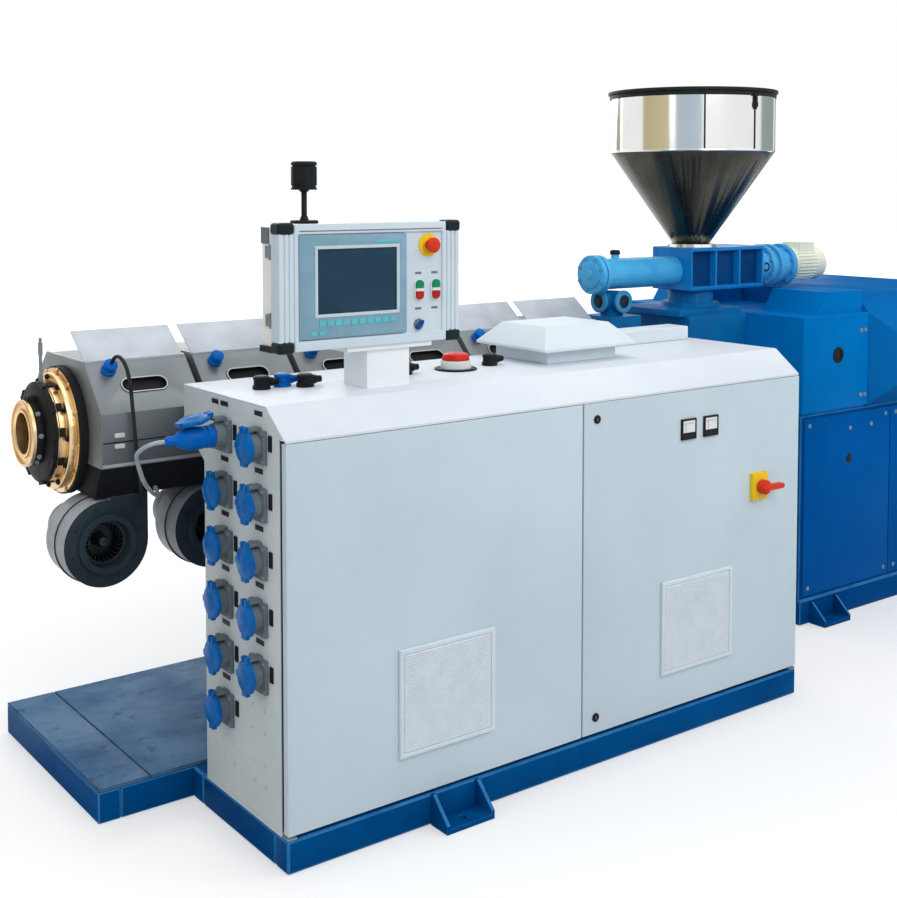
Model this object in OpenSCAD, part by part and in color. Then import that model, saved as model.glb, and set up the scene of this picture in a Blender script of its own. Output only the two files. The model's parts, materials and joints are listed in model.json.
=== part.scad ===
// Twin-screw plastic extruder: barrel and drive on a welded base, with a control cabinet in front.
// X runs along the machine towards the drive, Y away from the operator, Z up.

/* [Base] */
// Length of the deck from its die end to the gear frame
deck_len = 2619; // [2400:1:2900]
// Width of the deck
deck_w = 697; // [620:1:800]
// Height of the base beams
beam_h = 80; // [60:1:110]
// Flange width of the base beams
beam_flange = 50; // [40:1:70]
// Thickness of the deck plates
deck_t = 9; // [5:0.5:14]
// How far the deck reaches past the cabinet at the die end
deck_overhang = 259; // [200:1:330]

/* [Cabinet] */
// Length of the control cabinet
cab_len = 1835; // [1700:1:1950]
// Depth of the control cabinet
cab_depth = 415; // [380:1:460]
// Depth of the cabinet at its roof, which reaches back over the deck
roof_depth = 530; // [500:1:560]
// Height of the cabinet roof above the floor
cab_h = 1088; // [1040:1:1140]
// Height of the sloped fascia between the doors and the roof
fascia_rise = 71; // [50:1:90]
// Depth of the sloped fascia
fascia_depth = 92; // [70:1:120]
// Height of the cabinet plinth
plinth_h = 80; // [60:1:110]
// Width of the plinth tube
plinth_tube = 60; // [40:1:80]
// Thickness of the cabinet sheets
sheet_t = 5; // [3:0.5:8]
// Thickness of a folded door
door_t = 20; // [18:1:26]
// Skin of a folded door
door_skin = 3; // [2:0.5:4]
// Width of a door's folded rim
door_rim = 26; // [22:1:34]
// Gap round the doors
door_gap = 6; // [5:0.5:8]
// Place of the seam between the doors, from the die end
door_seam = 922; // [860:1:980]
// Width of a door filter
filter_w = 298; // [240:1:320]
// Height of a door filter
filter_h = 272; // [220:1:300]
// Height of the filters' centre above the floor
filter_z = 331; // [300:1:380]
// Diameter of the door pivot pins
pivot_d = 8; // [6:0.5:10]

/* [Sockets] */
// Rows of heater sockets on the end wall
socket_rows = 6; // [4:1:6]
// Distance of the top row of sockets below the roof
socket_drop = 98; // [98:1:150]
// Spacing of the socket rows
socket_pitch = 137; // [110:1:140]
// Width of a socket's square flange
socket_flange = 80; // [66:1:90]
// Diameter of a socket lid
socket_lid_d = 74; // [60:1:80]

/* [Terminal] */
// Width of the operator terminal
term_w = 540; // [480:1:580]
// Height of the operator terminal
term_h = 310; // [280:1:340]
// Depth of the operator terminal
term_depth = 100; // [80:1:130]
// Width of the terminal's side profiles
term_side = 54; // [44:1:60]
// Width of the display bezel
bezel_w = 316; // [300:1:330]
// Height of the display bezel
bezel_h = 254; // [230:1:256]

/* [Barrel] */
// Height of the barrel axis above the floor
axis_z = 945; // [900:1:1000]
// Diameter of the heated barrel
barrel_d = 225; // [190:1:240]
// Diameter of the barrel flange
flange_d = 346; // [320:1:360]
// Bore of the die adapter
adapter_bore = 110; // [80:1:120]
// Number of barrel covers
cover_count = 6; // [4:1:6]
// Length of bare barrel between the covers and the feed block
bare_len = 422; // [380:1:480]
// Gap between two barrel covers
cover_gap = 20; // [12:1:24]
// Half width of a barrel cover
cover_half = 255; // [235:1:270]
// Number of cooling blowers, counted from the die end
blower_count = 4; // [2:1:4]
// Radius of a blower scroll
blower_r = 115; // [100:1:117]

/* [Feeding] */
// Outer diameter of the hopper
hopper_d = 614; // [560:1:680]
// Height of the hopper's straight wall
hopper_wall_h = 214; // [160:1:260]
// Height of the hopper's cone
hopper_cone_h = 360; // [300:1:420]
// Outlet diameter of the hopper
hopper_outlet = 120; // [100:1:140]
// Wall thickness of the hopper
hopper_t = 4; // [3:0.5:6]
// Height of the feeder screw's axis
feeder_z = 1285; // [1270:1:1310]
// Diameter of the feeder tube
feeder_d = 112; // [100:1:124]

/* [Drive] */
// Length of the gear frame
gear_len = 1190; // [1100:1:1400]
// Width of the gear frame
gear_w = 904; // [860:1:960]
// Height of the gear frame's split line
gear_split = 776; // [740:1:800]
// Height of the gearbox top
gear_top = 1128; // [1100:1:1150]
// Length of the gearbox cover
gear_cover_len = 385; // [340:1:420]
// How far the drive guard stands out past the gear frame
guard_out = 95; // [70:1:110]
// Height of the drive guard's top
guard_top = 1195; // [1170:1:1197]

/* [Hidden] */

$fn = 64;

// Touching pieces on moving bodies keep this gap
seat_gap = 0.3;
// Radial play of a pin in its bore
pin_play = 0.05;

// Places along the machine, from the cabinet's die end
deck_x0 = -deck_overhang;
gear_x0 = deck_x0 + deck_len;
gear_x1 = gear_x0 + gear_len;
barrel_x0 = -200;
deck_y0 = 498;
axis_y = deck_y0 + deck_w / 2;
deck_top = beam_h + deck_t;
cab_base = plinth_h + 11;
fascia_h = cab_h - fascia_rise;
gear_y0 = axis_y - gear_w / 2;

// Feet stand out in front of the plinth
foot_depth = 70;
foot_w = 150;
foot_t = 12;
foot_gusset = 10;
foot_hole_d = 22;

// The barrel head and the die adapter stand in front of the barrel
flange_t = 25;
head_len = 60;
adapter_len = 35;
head_x0 = barrel_x0 - flange_t - head_len;
adapter_x0 = head_x0 - adapter_len;

// Covers follow each other along the barrel, and a blower hangs under each of the first ones
feed_len = 310;
feed_x0 = gear_x0 - feed_len;
cover_run = feed_x0 - barrel_x0 - bare_len;
cover_pitch = (cover_run + cover_gap) / cover_count;
cover_len = cover_pitch - cover_gap;
blower_shift = 30;
blower_x0 = barrel_x0 + blower_shift;
blower_z = 670;

// The frame's origin is on the floor, in the middle of the machine's box
x_mid = (adapter_x0 + gear_x1) / 2;
y_mid = (axis_y + gear_w / 2 + guard_out - foot_depth) / 2;

module place() {
  translate([-x_mid, -y_mid, 0])
    children();
}

// A box given by its two corners
module slab(low, high) {
  translate(low)
    cube(high - low);
}

// A cylinder along X, Y or Z
module rod_x(x0, x1, y, z, d) {
  translate([x0, y, z])
    rotate([0, 90, 0])
      cylinder(h = x1 - x0, d = d);
}

module rod_y(x, y0, y1, z, d) {
  translate([x, y0, z])
    rotate([-90, 0, 0])
      cylinder(h = y1 - y0, d = d);
}

module rod_z(x, y, z0, z1, d) {
  translate([x, y, z0])
    cylinder(h = z1 - z0, d = d);
}

// An outline in Y and Z, extruded along X
module along_x(x0, x1) {
  translate([x0, 0, 0])
    rotate([90, 0, 90])
      linear_extrude(x1 - x0)
        children();
}

// An outline in X and Z, extruded along Y
module along_y(y0, y1) {
  translate([0, y1, 0])
    rotate([90, 0, 0])
      linear_extrude(y1 - y0)
        children();
}

// A flat shape with two round ends
module stadium(len, wide) {
  square([len - wide, wide], center = true);
  for (side = [-1, 1])
    translate([side * (len - wide) / 2, 0])
      circle(d = wide);
}

// BASE: two channel beams, cross beams between them and deck plates on top
beam_web = 8;

module channel_outline() {
  difference() {
    square([beam_flange, beam_h]);
    translate([beam_web, beam_web])
      square([beam_flange, beam_h - 2 * beam_web]);
  }
}

crossbeam_count = 5;
crossbeam_w = 60;

// The end beam closes the die end; the rest fit between the long beams
module base_frame() {
  beam_x0 = deck_x0 + crossbeam_w + seat_gap;
  crossbeam_pitch = (deck_len - crossbeam_w) / (crossbeam_count - 1);
  color("#00427a") place() {
    along_x(beam_x0, gear_x0)
      translate([deck_y0, 0])
        channel_outline();
    along_x(beam_x0, gear_x0)
      translate([deck_y0 + deck_w, 0])
        mirror([1, 0])
          channel_outline();
    slab([deck_x0, deck_y0, 0], [deck_x0 + crossbeam_w, deck_y0 + deck_w, beam_h]);
    for (i = [1 : crossbeam_count - 1])
      translate([deck_x0 + i * crossbeam_pitch, deck_y0 + beam_flange + seat_gap, 0])
        cube([crossbeam_w, deck_w - 2 * (beam_flange + seat_gap), beam_h]);
  }
}

deck_seam = 1.5;
deck_first = 140;

module deck_plates() {
  deck_rest = (deck_len - deck_first) / 2;
  deck_ends = [0, deck_first, deck_first + deck_rest, deck_len];
  color("#5a7da0") place()
    for (i = [0 : 2])
      slab([deck_x0 + deck_ends[i] + deck_seam / 2, deck_y0, beam_h],
           [deck_x0 + deck_ends[i + 1] - deck_seam / 2, deck_y0 + deck_w, deck_top]);
}

// CABINET: a plinth of tubes, a floor, three walls and a folded roof
module cabinet_plinth() {
  color("#004278") place() {
    for (y = [0, deck_y0 - plinth_tube])
      slab([0, y, 0], [cab_len, y + plinth_tube, plinth_h]);
    for (x = [0, cab_len - plinth_tube])
      slab([x, plinth_tube + seat_gap, 0],
           [x + plinth_tube, deck_y0 - plinth_tube - seat_gap, plinth_h]);
  }
}

// A bolted foot: a drilled plate with two gussets, its back on the plane y = 0
module foot() {
  difference() {
    slab([-foot_w / 2, -foot_depth, 0], [foot_w / 2, 0, foot_t]);
    rod_z(0, -foot_depth / 2, -1, foot_t + 1, foot_hole_d);
  }
  for (side = [-1, 1])
    translate([side * (foot_w - foot_gusset) / 2 - foot_gusset / 2, 0, 0])
      along_x(0, foot_gusset)
        polygon([[-foot_depth, foot_t - 1], [0, foot_t - 1], [0, plinth_h], [-foot_gusset, plinth_h],
                 [-foot_depth, foot_t + foot_gusset]]);
}

cab_foot_x = 485;
gear_foot_inset = 130;

module foot_brackets() {
  color("#0a4f8f") place() {
    translate([cab_foot_x, 0, 0])
      foot();
    translate([cab_foot_x, deck_y0 + deck_w, 0])
      rotate([0, 0, 180])
        foot();
    for (x = [gear_x0 + gear_foot_inset, gear_x1 - gear_foot_inset]) {
      translate([x, gear_y0, 0])
        foot();
      translate([x, gear_y0 + gear_w, 0])
        rotate([0, 0, 180])
          foot();
    }
  }
}

// The doors lie in front of the walls, which start behind them
wall_y0 = door_t + 10;
fascia_slope = atan2(cab_h - fascia_h, fascia_depth);
fascia_drop = sheet_t / cos(fascia_slope);
function fascia_inner_z(y) = fascia_h - fascia_drop + y * tan(fascia_slope);
function fascia_inner_y(z) = (z - fascia_h + fascia_drop) / tan(fascia_slope);

step_drop = 103;
step_rise = 80;
step_z1 = cab_h - step_drop;
step_z0 = step_z1 - step_rise;

module end_wall_outline() {
  polygon([[wall_y0, cab_base], [wall_y0, fascia_h + sheet_t],
           [fascia_inner_y(fascia_h + sheet_t), fascia_h + sheet_t],
           [fascia_inner_y(cab_h - sheet_t), cab_h - sheet_t],
           [roof_depth, cab_h - sheet_t], [roof_depth, step_z1],
           [cab_depth, step_z0], [cab_depth, cab_base]]);
}

module cabinet_floor() {
  color("#2a3036") place()
    slab([0, wall_y0, plinth_h], [cab_len, cab_depth, cab_base]);
}

module cabinet_ends() {
  color("#96a3a3") place()
    for (x = [0, cab_len - sheet_t])
      along_x(x, x + sheet_t)
        end_wall_outline();
}

module cabinet_back() {
  color("#96a3a3") place()
    along_x(sheet_t, cab_len - sheet_t)
      polygon([[cab_depth, cab_base], [cab_depth, step_z0],
               [roof_depth, step_z1], [roof_depth, cab_h - sheet_t],
               [roof_depth - sheet_t, cab_h - sheet_t], [roof_depth - sheet_t, step_z1 + sheet_t / 2],
               [cab_depth - sheet_t, step_z0 + sheet_t / 2], [cab_depth - sheet_t, cab_base]]);
}

module cabinet_roof() {
  color("#e4e9f0") place()
    along_x(0, cab_len)
      polygon([[0, fascia_h], [fascia_depth, cab_h],
               [roof_depth, cab_h], [roof_depth, cab_h - sheet_t],
               [fascia_inner_y(cab_h - sheet_t), cab_h - sheet_t],
               [fascia_inner_y(fascia_h + sheet_t), fascia_h + sheet_t],
               [wall_y0, fascia_h + sheet_t], [wall_y0, fascia_h]]);
}

// DOORS: folded pans that turn on pins in the plinth and the roof
pivot_inset = 12;
pivot_y = door_t / 2;
pivot_depth = 18;
pivot_plate = 5;
door_z0 = cab_base;
door_z1 = fascia_h - door_gap;
door_edge = 2;
pivot_left_x = door_edge + pivot_inset;
pivot_right_x = cab_len - door_edge - pivot_inset;
filter_recess = 30;

module door_pivots() {
  color("#8a9095") place()
    for (x = [pivot_left_x, pivot_right_x]) {
      rod_z(x, pivot_y, plinth_h + pivot_plate - 1, door_z0 + pivot_depth, pivot_d);
      slab([x - pivot_inset, 1, plinth_h], [x + pivot_inset, wall_y0, plinth_h + pivot_plate]);
      rod_z(x, pivot_y, door_z1 - pivot_depth, fascia_h, pivot_d);
    }
}

// A door pan from x0 to x1 with its filter opening and its two pivot bores
module door_pan(x0, x1, filter_x, pivot_x) {
  difference() {
    slab([x0, 0, door_z0], [x1, door_t, door_z1]);
    slab([x0 + door_rim, door_skin, door_z0 + door_rim],
         [x1 - door_rim, door_t + 1, door_z1 - door_rim]);
    slab([filter_x - filter_w / 2 + filter_recess, -1, filter_z - filter_h / 2 + filter_recess],
         [filter_x + filter_w / 2 - filter_recess, door_t + 1, filter_z + filter_h / 2 - filter_recess]);
    rod_z(pivot_x, pivot_y, door_z0 - 1, door_z0 + pivot_depth + 2, pivot_d + 2 * pin_play);
    rod_z(pivot_x, pivot_y, door_z1 - pivot_depth - 2, door_z1 + 1, pivot_d + 2 * pin_play);
  }
}

left_filter_x = door_seam / 2;
right_filter_x = door_seam + (cab_len - door_seam) / 2 - 5;

module left_door() {
  color("#c4d5df") place()
    door_pan(door_edge, door_seam - door_gap / 2, left_filter_x, pivot_left_x);
}

module right_door() {
  color("#c4d5df") place()
    door_pan(door_seam + door_gap / 2, cab_len - door_edge, right_filter_x, pivot_right_x);
}

// A filter frame on the door's face with its grille set back inside
filter_t = 10;
filter_border = 12;
filter_set_back = 5;

module filter_frame(x) {
  difference() {
    slab([x - filter_w / 2, -filter_t, filter_z - filter_h / 2],
         [x + filter_w / 2, 0, filter_z + filter_h / 2]);
    slab([x - filter_w / 2 + filter_border, -filter_t - 1, filter_z - filter_h / 2 + filter_border],
         [x + filter_w / 2 - filter_border, filter_set_back - filter_t,
          filter_z + filter_h / 2 - filter_border]);
  }
}

module left_filter() {
  color("#eef2f4") place()
    filter_frame(left_filter_x);
}

module right_filter() {
  color("#eef2f4") place()
    filter_frame(right_filter_x);
}

lock_inset = 50;
lock_d = 24;
lock_out = 5;
lock_from_end = 45;

module door_locks() {
  color("#23272b") place()
    for (z = [door_z0 + lock_from_end, door_z1 - lock_from_end])
      rod_y(door_seam + lock_inset, -lock_out, 0, z, lock_d);
}

meter_w = 60;
meter_out = 7;
meter_drop = 117;
meter_z = fascia_h - meter_drop;
meter_spacing = 94;
meter_x = door_seam + (cab_len - door_seam) / 2;

module door_meters() {
  color("#202428") place()
    for (side = [-1, 1])
      slab([meter_x + side * meter_spacing / 2 - meter_w / 2, -meter_out, meter_z - meter_w / 2],
           [meter_x + side * meter_spacing / 2 + meter_w / 2, 0, meter_z + meter_w / 2]);
}

// MAIN SWITCH: a yellow plate with a shaft, and a red handle that turns on it
switch_x = cab_len - 195;
switch_z = 692;
switch_w = 66;
switch_h = 82;
switch_t = 14;
switch_shaft_d = 10;
switch_shaft = 16;
handle_gap = 5;
handle_hub_d = 44;
handle_hub = 18;
handle_len = 92;
handle_w = 16;
handle_t = 22;

module switch_plate() {
  color("#f0c814") place() {
    slab([switch_x - switch_w / 2, -switch_t, switch_z - switch_h / 2],
         [switch_x + switch_w / 2, 0, switch_z + switch_h / 2]);
    rod_y(switch_x, -switch_t - switch_shaft, -switch_t + 1, switch_z, switch_shaft_d);
  }
}

module switch_handle() {
  hub_y1 = -switch_t - handle_gap;
  hub_y0 = hub_y1 - handle_hub;
  color("#d83a1e") place()
    difference() {
      union() {
        rod_y(switch_x, hub_y0, hub_y1, switch_z, handle_hub_d);
        translate([switch_x + handle_len / 2 - handle_hub_d / 2, 0, switch_z])
          along_y(hub_y0 - handle_t + 10, hub_y0 + 6)
            stadium(handle_len, handle_w);
      }
      rod_y(switch_x, -switch_t - switch_shaft - 1, hub_y1 + 1, switch_z,
            switch_shaft_d + 2 * pin_play);
    }
}

// SOCKETS: two columns on the end wall, each a flange, a collar and a lid
socket_back_y = 300;
socket_front_y = 125;
socket_flange_t = 10;
socket_collar = 24;
socket_collar_d = 62;
socket_lid_t = 16;
socket_lug_w = 26;
socket_lug_h = 9;

socket_top = cab_h - socket_drop;

function socket_z(row) = socket_top - row * socket_pitch;

// Each entry is a column's Y and a row; the front column has one row less
socket_places = concat(
  [for (row = [0 : socket_rows - 1]) [socket_back_y, socket_z(row)]],
  [for (row = [0 : socket_rows - 2]) [socket_front_y, socket_z(row)]]
);

module socket_bodies() {
  color("#6e787d") place()
    for (p = socket_places) {
      slab([-socket_flange_t, p[0] - socket_flange / 2, p[1] - socket_flange / 2],
           [0, p[0] + socket_flange / 2, p[1] + socket_flange / 2]);
      rod_x(-socket_flange_t - socket_collar, -socket_flange_t + 1, p[0], p[1], socket_collar_d);
      slab([-socket_flange_t - socket_collar, p[0] - socket_lug_w / 2, p[1] + socket_lid_d / 2 + 1],
           [0, p[0] + socket_lug_w / 2, p[1] + socket_lid_d / 2 + socket_lug_h]);
    }
}

// A lid with its hinge lug on top, its seat on the plane x = 0
module socket_lid() {
  rod_x(-socket_lid_t, 0, 0, 0, socket_lid_d);
  slab([-socket_lid_t, -socket_lug_w / 2, socket_lid_d / 2 - 4],
       [0, socket_lug_w / 2, socket_lid_d / 2 + socket_lug_h]);
}

module socket_lids() {
  seat_x = -socket_flange_t - socket_collar;
  open_angle = 105;
  color("#0055a5") place()
    for (i = [0 : len(socket_places) - 1])
      translate([seat_x, socket_places[i][0], socket_places[i][1]])
        if (i == 0)
          translate([0, 0, socket_lid_d / 2 + socket_lug_h])
            rotate([0, open_angle, 0])
              translate([0, 0, -socket_lid_d / 2 - socket_lug_h])
                socket_lid();
        else
          socket_lid();
}

// The plug in the open socket, with its cable gland
plug_d = 56;
plug_len = 96;
plug_gland_d = 26;
plug_gland = 30;

module heater_plug() {
  seat_x = -socket_flange_t - socket_collar;
  color("#0a5fb4") place() {
    rod_x(seat_x - plug_len, seat_x, socket_back_y, socket_top, plug_d);
    rod_x(seat_x - plug_len - plug_gland, seat_x - plug_len + 1, socket_back_y, socket_top, plug_gland_d);
  }
}

// CABLES: round tubes swept along hand-placed points, in the machine's own places
plug_cable_d = 11;
plug_cable_points = [
  [-160.3, 300, 990], [-173, 300, 990], [-186.5, 301.5, 988.5], [-199, 306.5, 984], [-208, 314.5, 977.5],
  [-214, 324, 969], [-215, 334.5, 960], [-212, 343.5, 952], [-205, 356, 940.5], [-198, 368, 928.5],
  [-190.5, 379.5, 916.5], [-182.5, 391.5, 904.5], [-174.5, 403, 892.5], [-166.5, 415, 881], [-157.5, 427, 870.5],
  [-148.7, 439.7, 860.8], [-135.7, 457.7, 848.4], [-122.4, 475.9, 836.8], [-109, 494.5, 825.9], [-95.4, 513.6, 816],
  [-82, 533.3, 807.3], [-68.9, 553.8, 800], [-56.5, 575.3, 794.8], [-45.5, 598.1, 792.8], [-40.1, 613.1, 794.1],
  [-37, 626.3, 797.5], [-36, 635.4, 801.4]
];
cover_cable_d = 10;
cover_cable_points = [
  [-142, 660, 1140], [-141, 644, 1154], [-139, 625, 1160], [-137, 605, 1155], [-134, 588, 1140],
  [-131, 577, 1115], [-128, 571, 1082], [-126, 568, 1045], [-123, 567, 1005], [-120, 567, 965],
  [-116, 568, 930], [-112, 570, 897], [-107, 574, 865], [-101, 581, 834], [-94, 591, 809],
  [-86, 604, 795], [-78, 612, 790], [-76, 635.5, 801.5]
];
cable_sides = 8;

function unit(v) = v / norm(v);
function heading(points, i) =
  unit(points[min(i + 1, len(points) - 1)] - points[max(i - 1, 0)]);
function cable_ring(points, i, d) =
  let (t = heading(points, i), u = unit(cross(t, [0, 1, 0.2])), v = cross(t, u))
  [for (k = [0 : cable_sides - 1])
    points[i] + d / 2 * (cos(360 * k / cable_sides) * u + sin(360 * k / cable_sides) * v)];

module cable(points, d) {
  last = len(points) - 1;
  rings = [for (i = [0 : last]) each cable_ring(points, i, d)];
  walls = [for (i = [0 : last - 1]) for (k = [0 : cable_sides - 1])
    let (n = (k + 1) % cable_sides, a = i * cable_sides, b = a + cable_sides)
    [a + k, b + k, b + n, a + n]];
  ends = [[for (k = [0 : cable_sides - 1]) k],
          [for (k = [cable_sides - 1 : -1 : 0]) last * cable_sides + k]];
  polyhedron(rings, concat(walls, ends), convexity = 6);
}

module plug_cable() {
  color("#b9bec2") place()
    cable(plug_cable_points, plug_cable_d);
}

module cover_cable() {
  color("#33383c") place()
    cable(cover_cable_points, cover_cable_d);
}

// ROOF: a fan hood with sloped sides on a neck, a cable duct, a lamp and cable glands
hood_x = 1138;
hood_y = 360;
hood_neck = 40;
hood_neck_w = 270;
hood_neck_depth = 240;
hood_rim_w = 360;
hood_rim_depth = 320;
hood_top_w = 250;
hood_top_depth = 200;
hood_rise = 67;
hood_lip = 8;

module hood_plan(w, depth, h) {
  translate([hood_x - w / 2, hood_y - depth / 2, 0])
    cube([w, depth, h]);
}

module roof_hood() {
  rim_z = cab_h + hood_neck;
  color("#e8ecef") place() {
    translate([0, 0, cab_h])
      hood_plan(hood_neck_w, hood_neck_depth, hood_neck + 1);
    hull() {
      translate([0, 0, rim_z])
        hood_plan(hood_rim_w, hood_rim_depth, hood_lip);
      translate([0, 0, rim_z + hood_rise - 1])
        hood_plan(hood_top_w, hood_top_depth, 1);
    }
  }
}

duct_x0 = 1400;
duct_inset = 40;
duct_w = 90;
duct_h = 45;

module roof_duct() {
  color("#cdd4d8") place()
    slab([duct_x0, roof_depth - duct_w - 10, cab_h],
         [cab_len - duct_inset, roof_depth - 10, cab_h + duct_h]);
}

lamp_x = 730;
lamp_y = 320;
lamp_d = 88;
lamp_h = 26;
lamp_plate_d = 120;
lamp_plate_t = 5;
lamp_cap_h = 16;

module roof_lamp() {
  base_z = cab_h + lamp_plate_t;
  cap_z = base_z + lamp_h;
  color("#d9d9d6") place() {
    rod_z(lamp_x, lamp_y, cab_h, base_z, lamp_plate_d);
    rod_z(lamp_x, lamp_y, base_z - 1, cap_z, lamp_d);
    rod_z(lamp_x, lamp_y, cap_z - 1, cap_z + lamp_cap_h, lamp_d - 12);
  }
}

// Each gland is a place along and across the roof
gland_places = [[120, 330], [185, 340], [230, 300], [560, 330], [860, 330]];
gland_d = 46;
gland_h = 34;

module roof_glands() {
  color("#1f2529") place()
    for (p = gland_places) {
      rod_z(p[0], p[1], cab_h, cab_h + gland_h, gland_d);
      rod_x(p[0], p[0] + gland_d, p[1], cab_h + gland_h / 2, gland_d / 2);
    }
}

// TERMINAL: a case on a pedestal, with a profile frame, corner caps and a display
term_x = 72;
term_y = 150;
pedestal_h = 112;
term_z = cab_h + pedestal_h;
term_rail = 25;
term_frame_t = 42;
panel_set_back = 6;
flute_count = 3;
flute_w = 4;
flute_depth = 4;
pedestal_x = 400;
pedestal_w = 130;
pedestal_depth = 110;
pedestal_plate = 12;

module terminal_pedestal() {
  y0 = term_y + 20;
  color("#e6eaec") place() {
    slab([pedestal_x - pedestal_w / 2, y0, cab_h],
         [pedestal_x + pedestal_w / 2, y0 + pedestal_depth, term_z - pedestal_plate]);
    slab([pedestal_x - pedestal_w, y0 - 10, term_z - pedestal_plate - 1],
         [pedestal_x + pedestal_w, term_y + term_depth, term_z]);
  }
}

module terminal_case() {
  color("#e6e2d2") place() {
    slab([term_x + 8, term_y + term_frame_t, term_z + 8],
         [term_x + term_w - 8, term_y + term_depth, term_z + term_h - 8]);
    slab([term_x + 8, term_y + term_frame_t, term_z],
         [term_x + term_w - 8, term_y + term_depth - 8, term_z + 9]);
  }
}

module terminal_frame() {
  color("#c9d2d8") place() {
    difference() {
      slab([term_x, term_y, term_z], [term_x + term_w, term_y + term_frame_t, term_z + term_h]);
      slab([term_x + term_side, term_y - 1, term_z + term_rail],
           [term_x + term_w - term_side, term_y + panel_set_back, term_z + term_h - term_rail]);
      for (i = [1 : flute_count])
        for (x = [i * term_side / (flute_count + 1), term_w - i * term_side / (flute_count + 1)])
          slab([term_x + x - flute_w / 2, term_y - 1, term_z - 1],
               [term_x + x + flute_w / 2, term_y + flute_depth, term_z + term_h + 1]);
    }
  }
}

cap_w = 50;
cap_h = 44;
cap_out = 4;

module corner_caps() {
  color("#14191c") place()
    for (sx = [0, 1])
      for (sz = [0, 1])
        translate([term_x + sx * term_w, 0, term_z + sz * term_h])
          mirror([sx, 0, 0])
            mirror([0, 0, sz])
              difference() {
                slab([-cap_out, term_y - cap_out, -cap_out], [cap_w, term_y + term_frame_t, cap_h]);
                slab([0, term_y, 0], [cap_w + 1, term_y + term_frame_t + 1, cap_h + 1]);
              }
}

bezel_x = term_x + term_side;
bezel_z = term_z + (term_h - bezel_h) / 2;
glass_w = 234;
glass_h = 160;
glass_x = bezel_x + 51;
glass_z = bezel_z + 60;
bezel_t = 9;
glass_t = 2;

module display_bezel() {
  color("#82a5b9") place()
    difference() {
      slab([bezel_x, term_y + panel_set_back - bezel_t, bezel_z],
           [bezel_x + bezel_w, term_y + panel_set_back, bezel_z + bezel_h]);
      slab([glass_x, term_y + panel_set_back - bezel_t - 1, glass_z],
           [glass_x + glass_w, term_y + panel_set_back - bezel_t + 2 * glass_t, glass_z + glass_h]);
    }
}

module display_glass() {
  glass_y = term_y + panel_set_back - bezel_t + glass_t;
  color("#193c50") place()
    slab([glass_x, glass_y, glass_z], [glass_x + glass_w, glass_y + glass_t, glass_z + glass_h]);
}

button_x = bezel_x + bezel_w + 42;
button_spacing = 52;
button_z = term_z + 135;
button_w = 28;
button_h = 56;
button_out = 12;
key_z = term_z + 45;
key_d = 30;
stop_drop = 60;
stop_z = term_z + term_h - stop_drop;

module push_buttons() {
  face_y = term_y + panel_set_back;
  color("#2f9a6a") place() {
    for (i = [0, 1])
      translate([button_x + i * button_spacing, 0, button_z])
        along_y(face_y - button_out, face_y)
          rotate(90)
            stadium(button_h, button_w);
    rod_y(button_x, face_y - button_out, face_y, key_z, key_d);
  }
}

stop_plate_d = 60;
stop_plate_t = 4;
stop_stem_d = 24;
stop_head_d = 40;
stop_stem = 16;
stop_head = 14;

module emergency_stop() {
  face_y = term_y + panel_set_back;
  plate_y = face_y - stop_plate_t;
  stem_y = plate_y - stop_stem;
  x = button_x + button_spacing * 0.6;
  color("#d23c1e") place() {
    rod_y(x, plate_y, face_y, stop_z, stop_plate_d);
    rod_y(x, stem_y, plate_y + 1, stop_z, stop_stem_d);
    rod_y(x, stem_y - stop_head, stem_y + 1, stop_z, stop_head_d);
  }
}

beacon_x = term_x + 105;
beacon_y = term_y + 60;
beacon_base_d = 70;
beacon_base_t = 8;
beacon_stem_d = 14;
beacon_stem = 75;
beacon_d = 64;
beacon_h = 70;

module signal_beacon() {
  z0 = term_z + term_h;
  z1 = z0 + beacon_base_t;
  z2 = z1 + beacon_stem;
  color("#15181b") place() {
    rod_z(beacon_x, beacon_y, z0, z1, beacon_base_d);
    rod_z(beacon_x, beacon_y, z1 - 1, z2 + 1, beacon_stem_d);
    rod_z(beacon_x, beacon_y, z2, z2 + beacon_h, beacon_d);
  }
}

// BARREL: a heated tube with its head and die adapter, under covers blown by fans
head_d = 270;
adapter_disc_d = 178;
adapter_disc_t = 12;
adapter_neck_d = 140;
bore_step = 10;

module barrel() {
  color("#8b8f93") place()
    rod_x(barrel_x0, feed_x0, axis_y, axis_z, barrel_d);
}

module barrel_head() {
  color("#d7b482") place()
    difference() {
      union() {
        rod_x(barrel_x0 - flange_t, barrel_x0, axis_y, axis_z, flange_d);
        rod_x(head_x0, barrel_x0 - flange_t + 1, axis_y, axis_z, head_d);
      }
      rod_x(head_x0 - 1, barrel_x0 + 1, axis_y, axis_z, adapter_bore - 2 * bore_step);
    }
}

clamp_ring_t = 22;
clamp_ring_wall = 22;

module clamp_ring() {
  x1 = barrel_x0 - flange_t;
  color("#16181a") place()
    difference() {
      rod_x(x1 - clamp_ring_t, x1, axis_y, axis_z, head_d + 2 * clamp_ring_wall);
      rod_x(x1 - clamp_ring_t - 1, x1 + 1, axis_y, axis_z, head_d + 2 * seat_gap);
    }
}

module die_adapter() {
  color("#d2aa78") place()
    difference() {
      union() {
        rod_x(adapter_x0, adapter_x0 + adapter_disc_t, axis_y, axis_z, adapter_disc_d);
        rod_x(adapter_x0 + 1, head_x0, axis_y, axis_z, adapter_neck_d);
      }
      rod_x(adapter_x0 - 1, head_x0 + 1, axis_y, axis_z, adapter_bore);
    }
}

// A dark heater band closes round the adapter's neck, with a clamping lug on top
band_d = 172;
band_lug_w = 34;
band_lug_h = 14;

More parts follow.
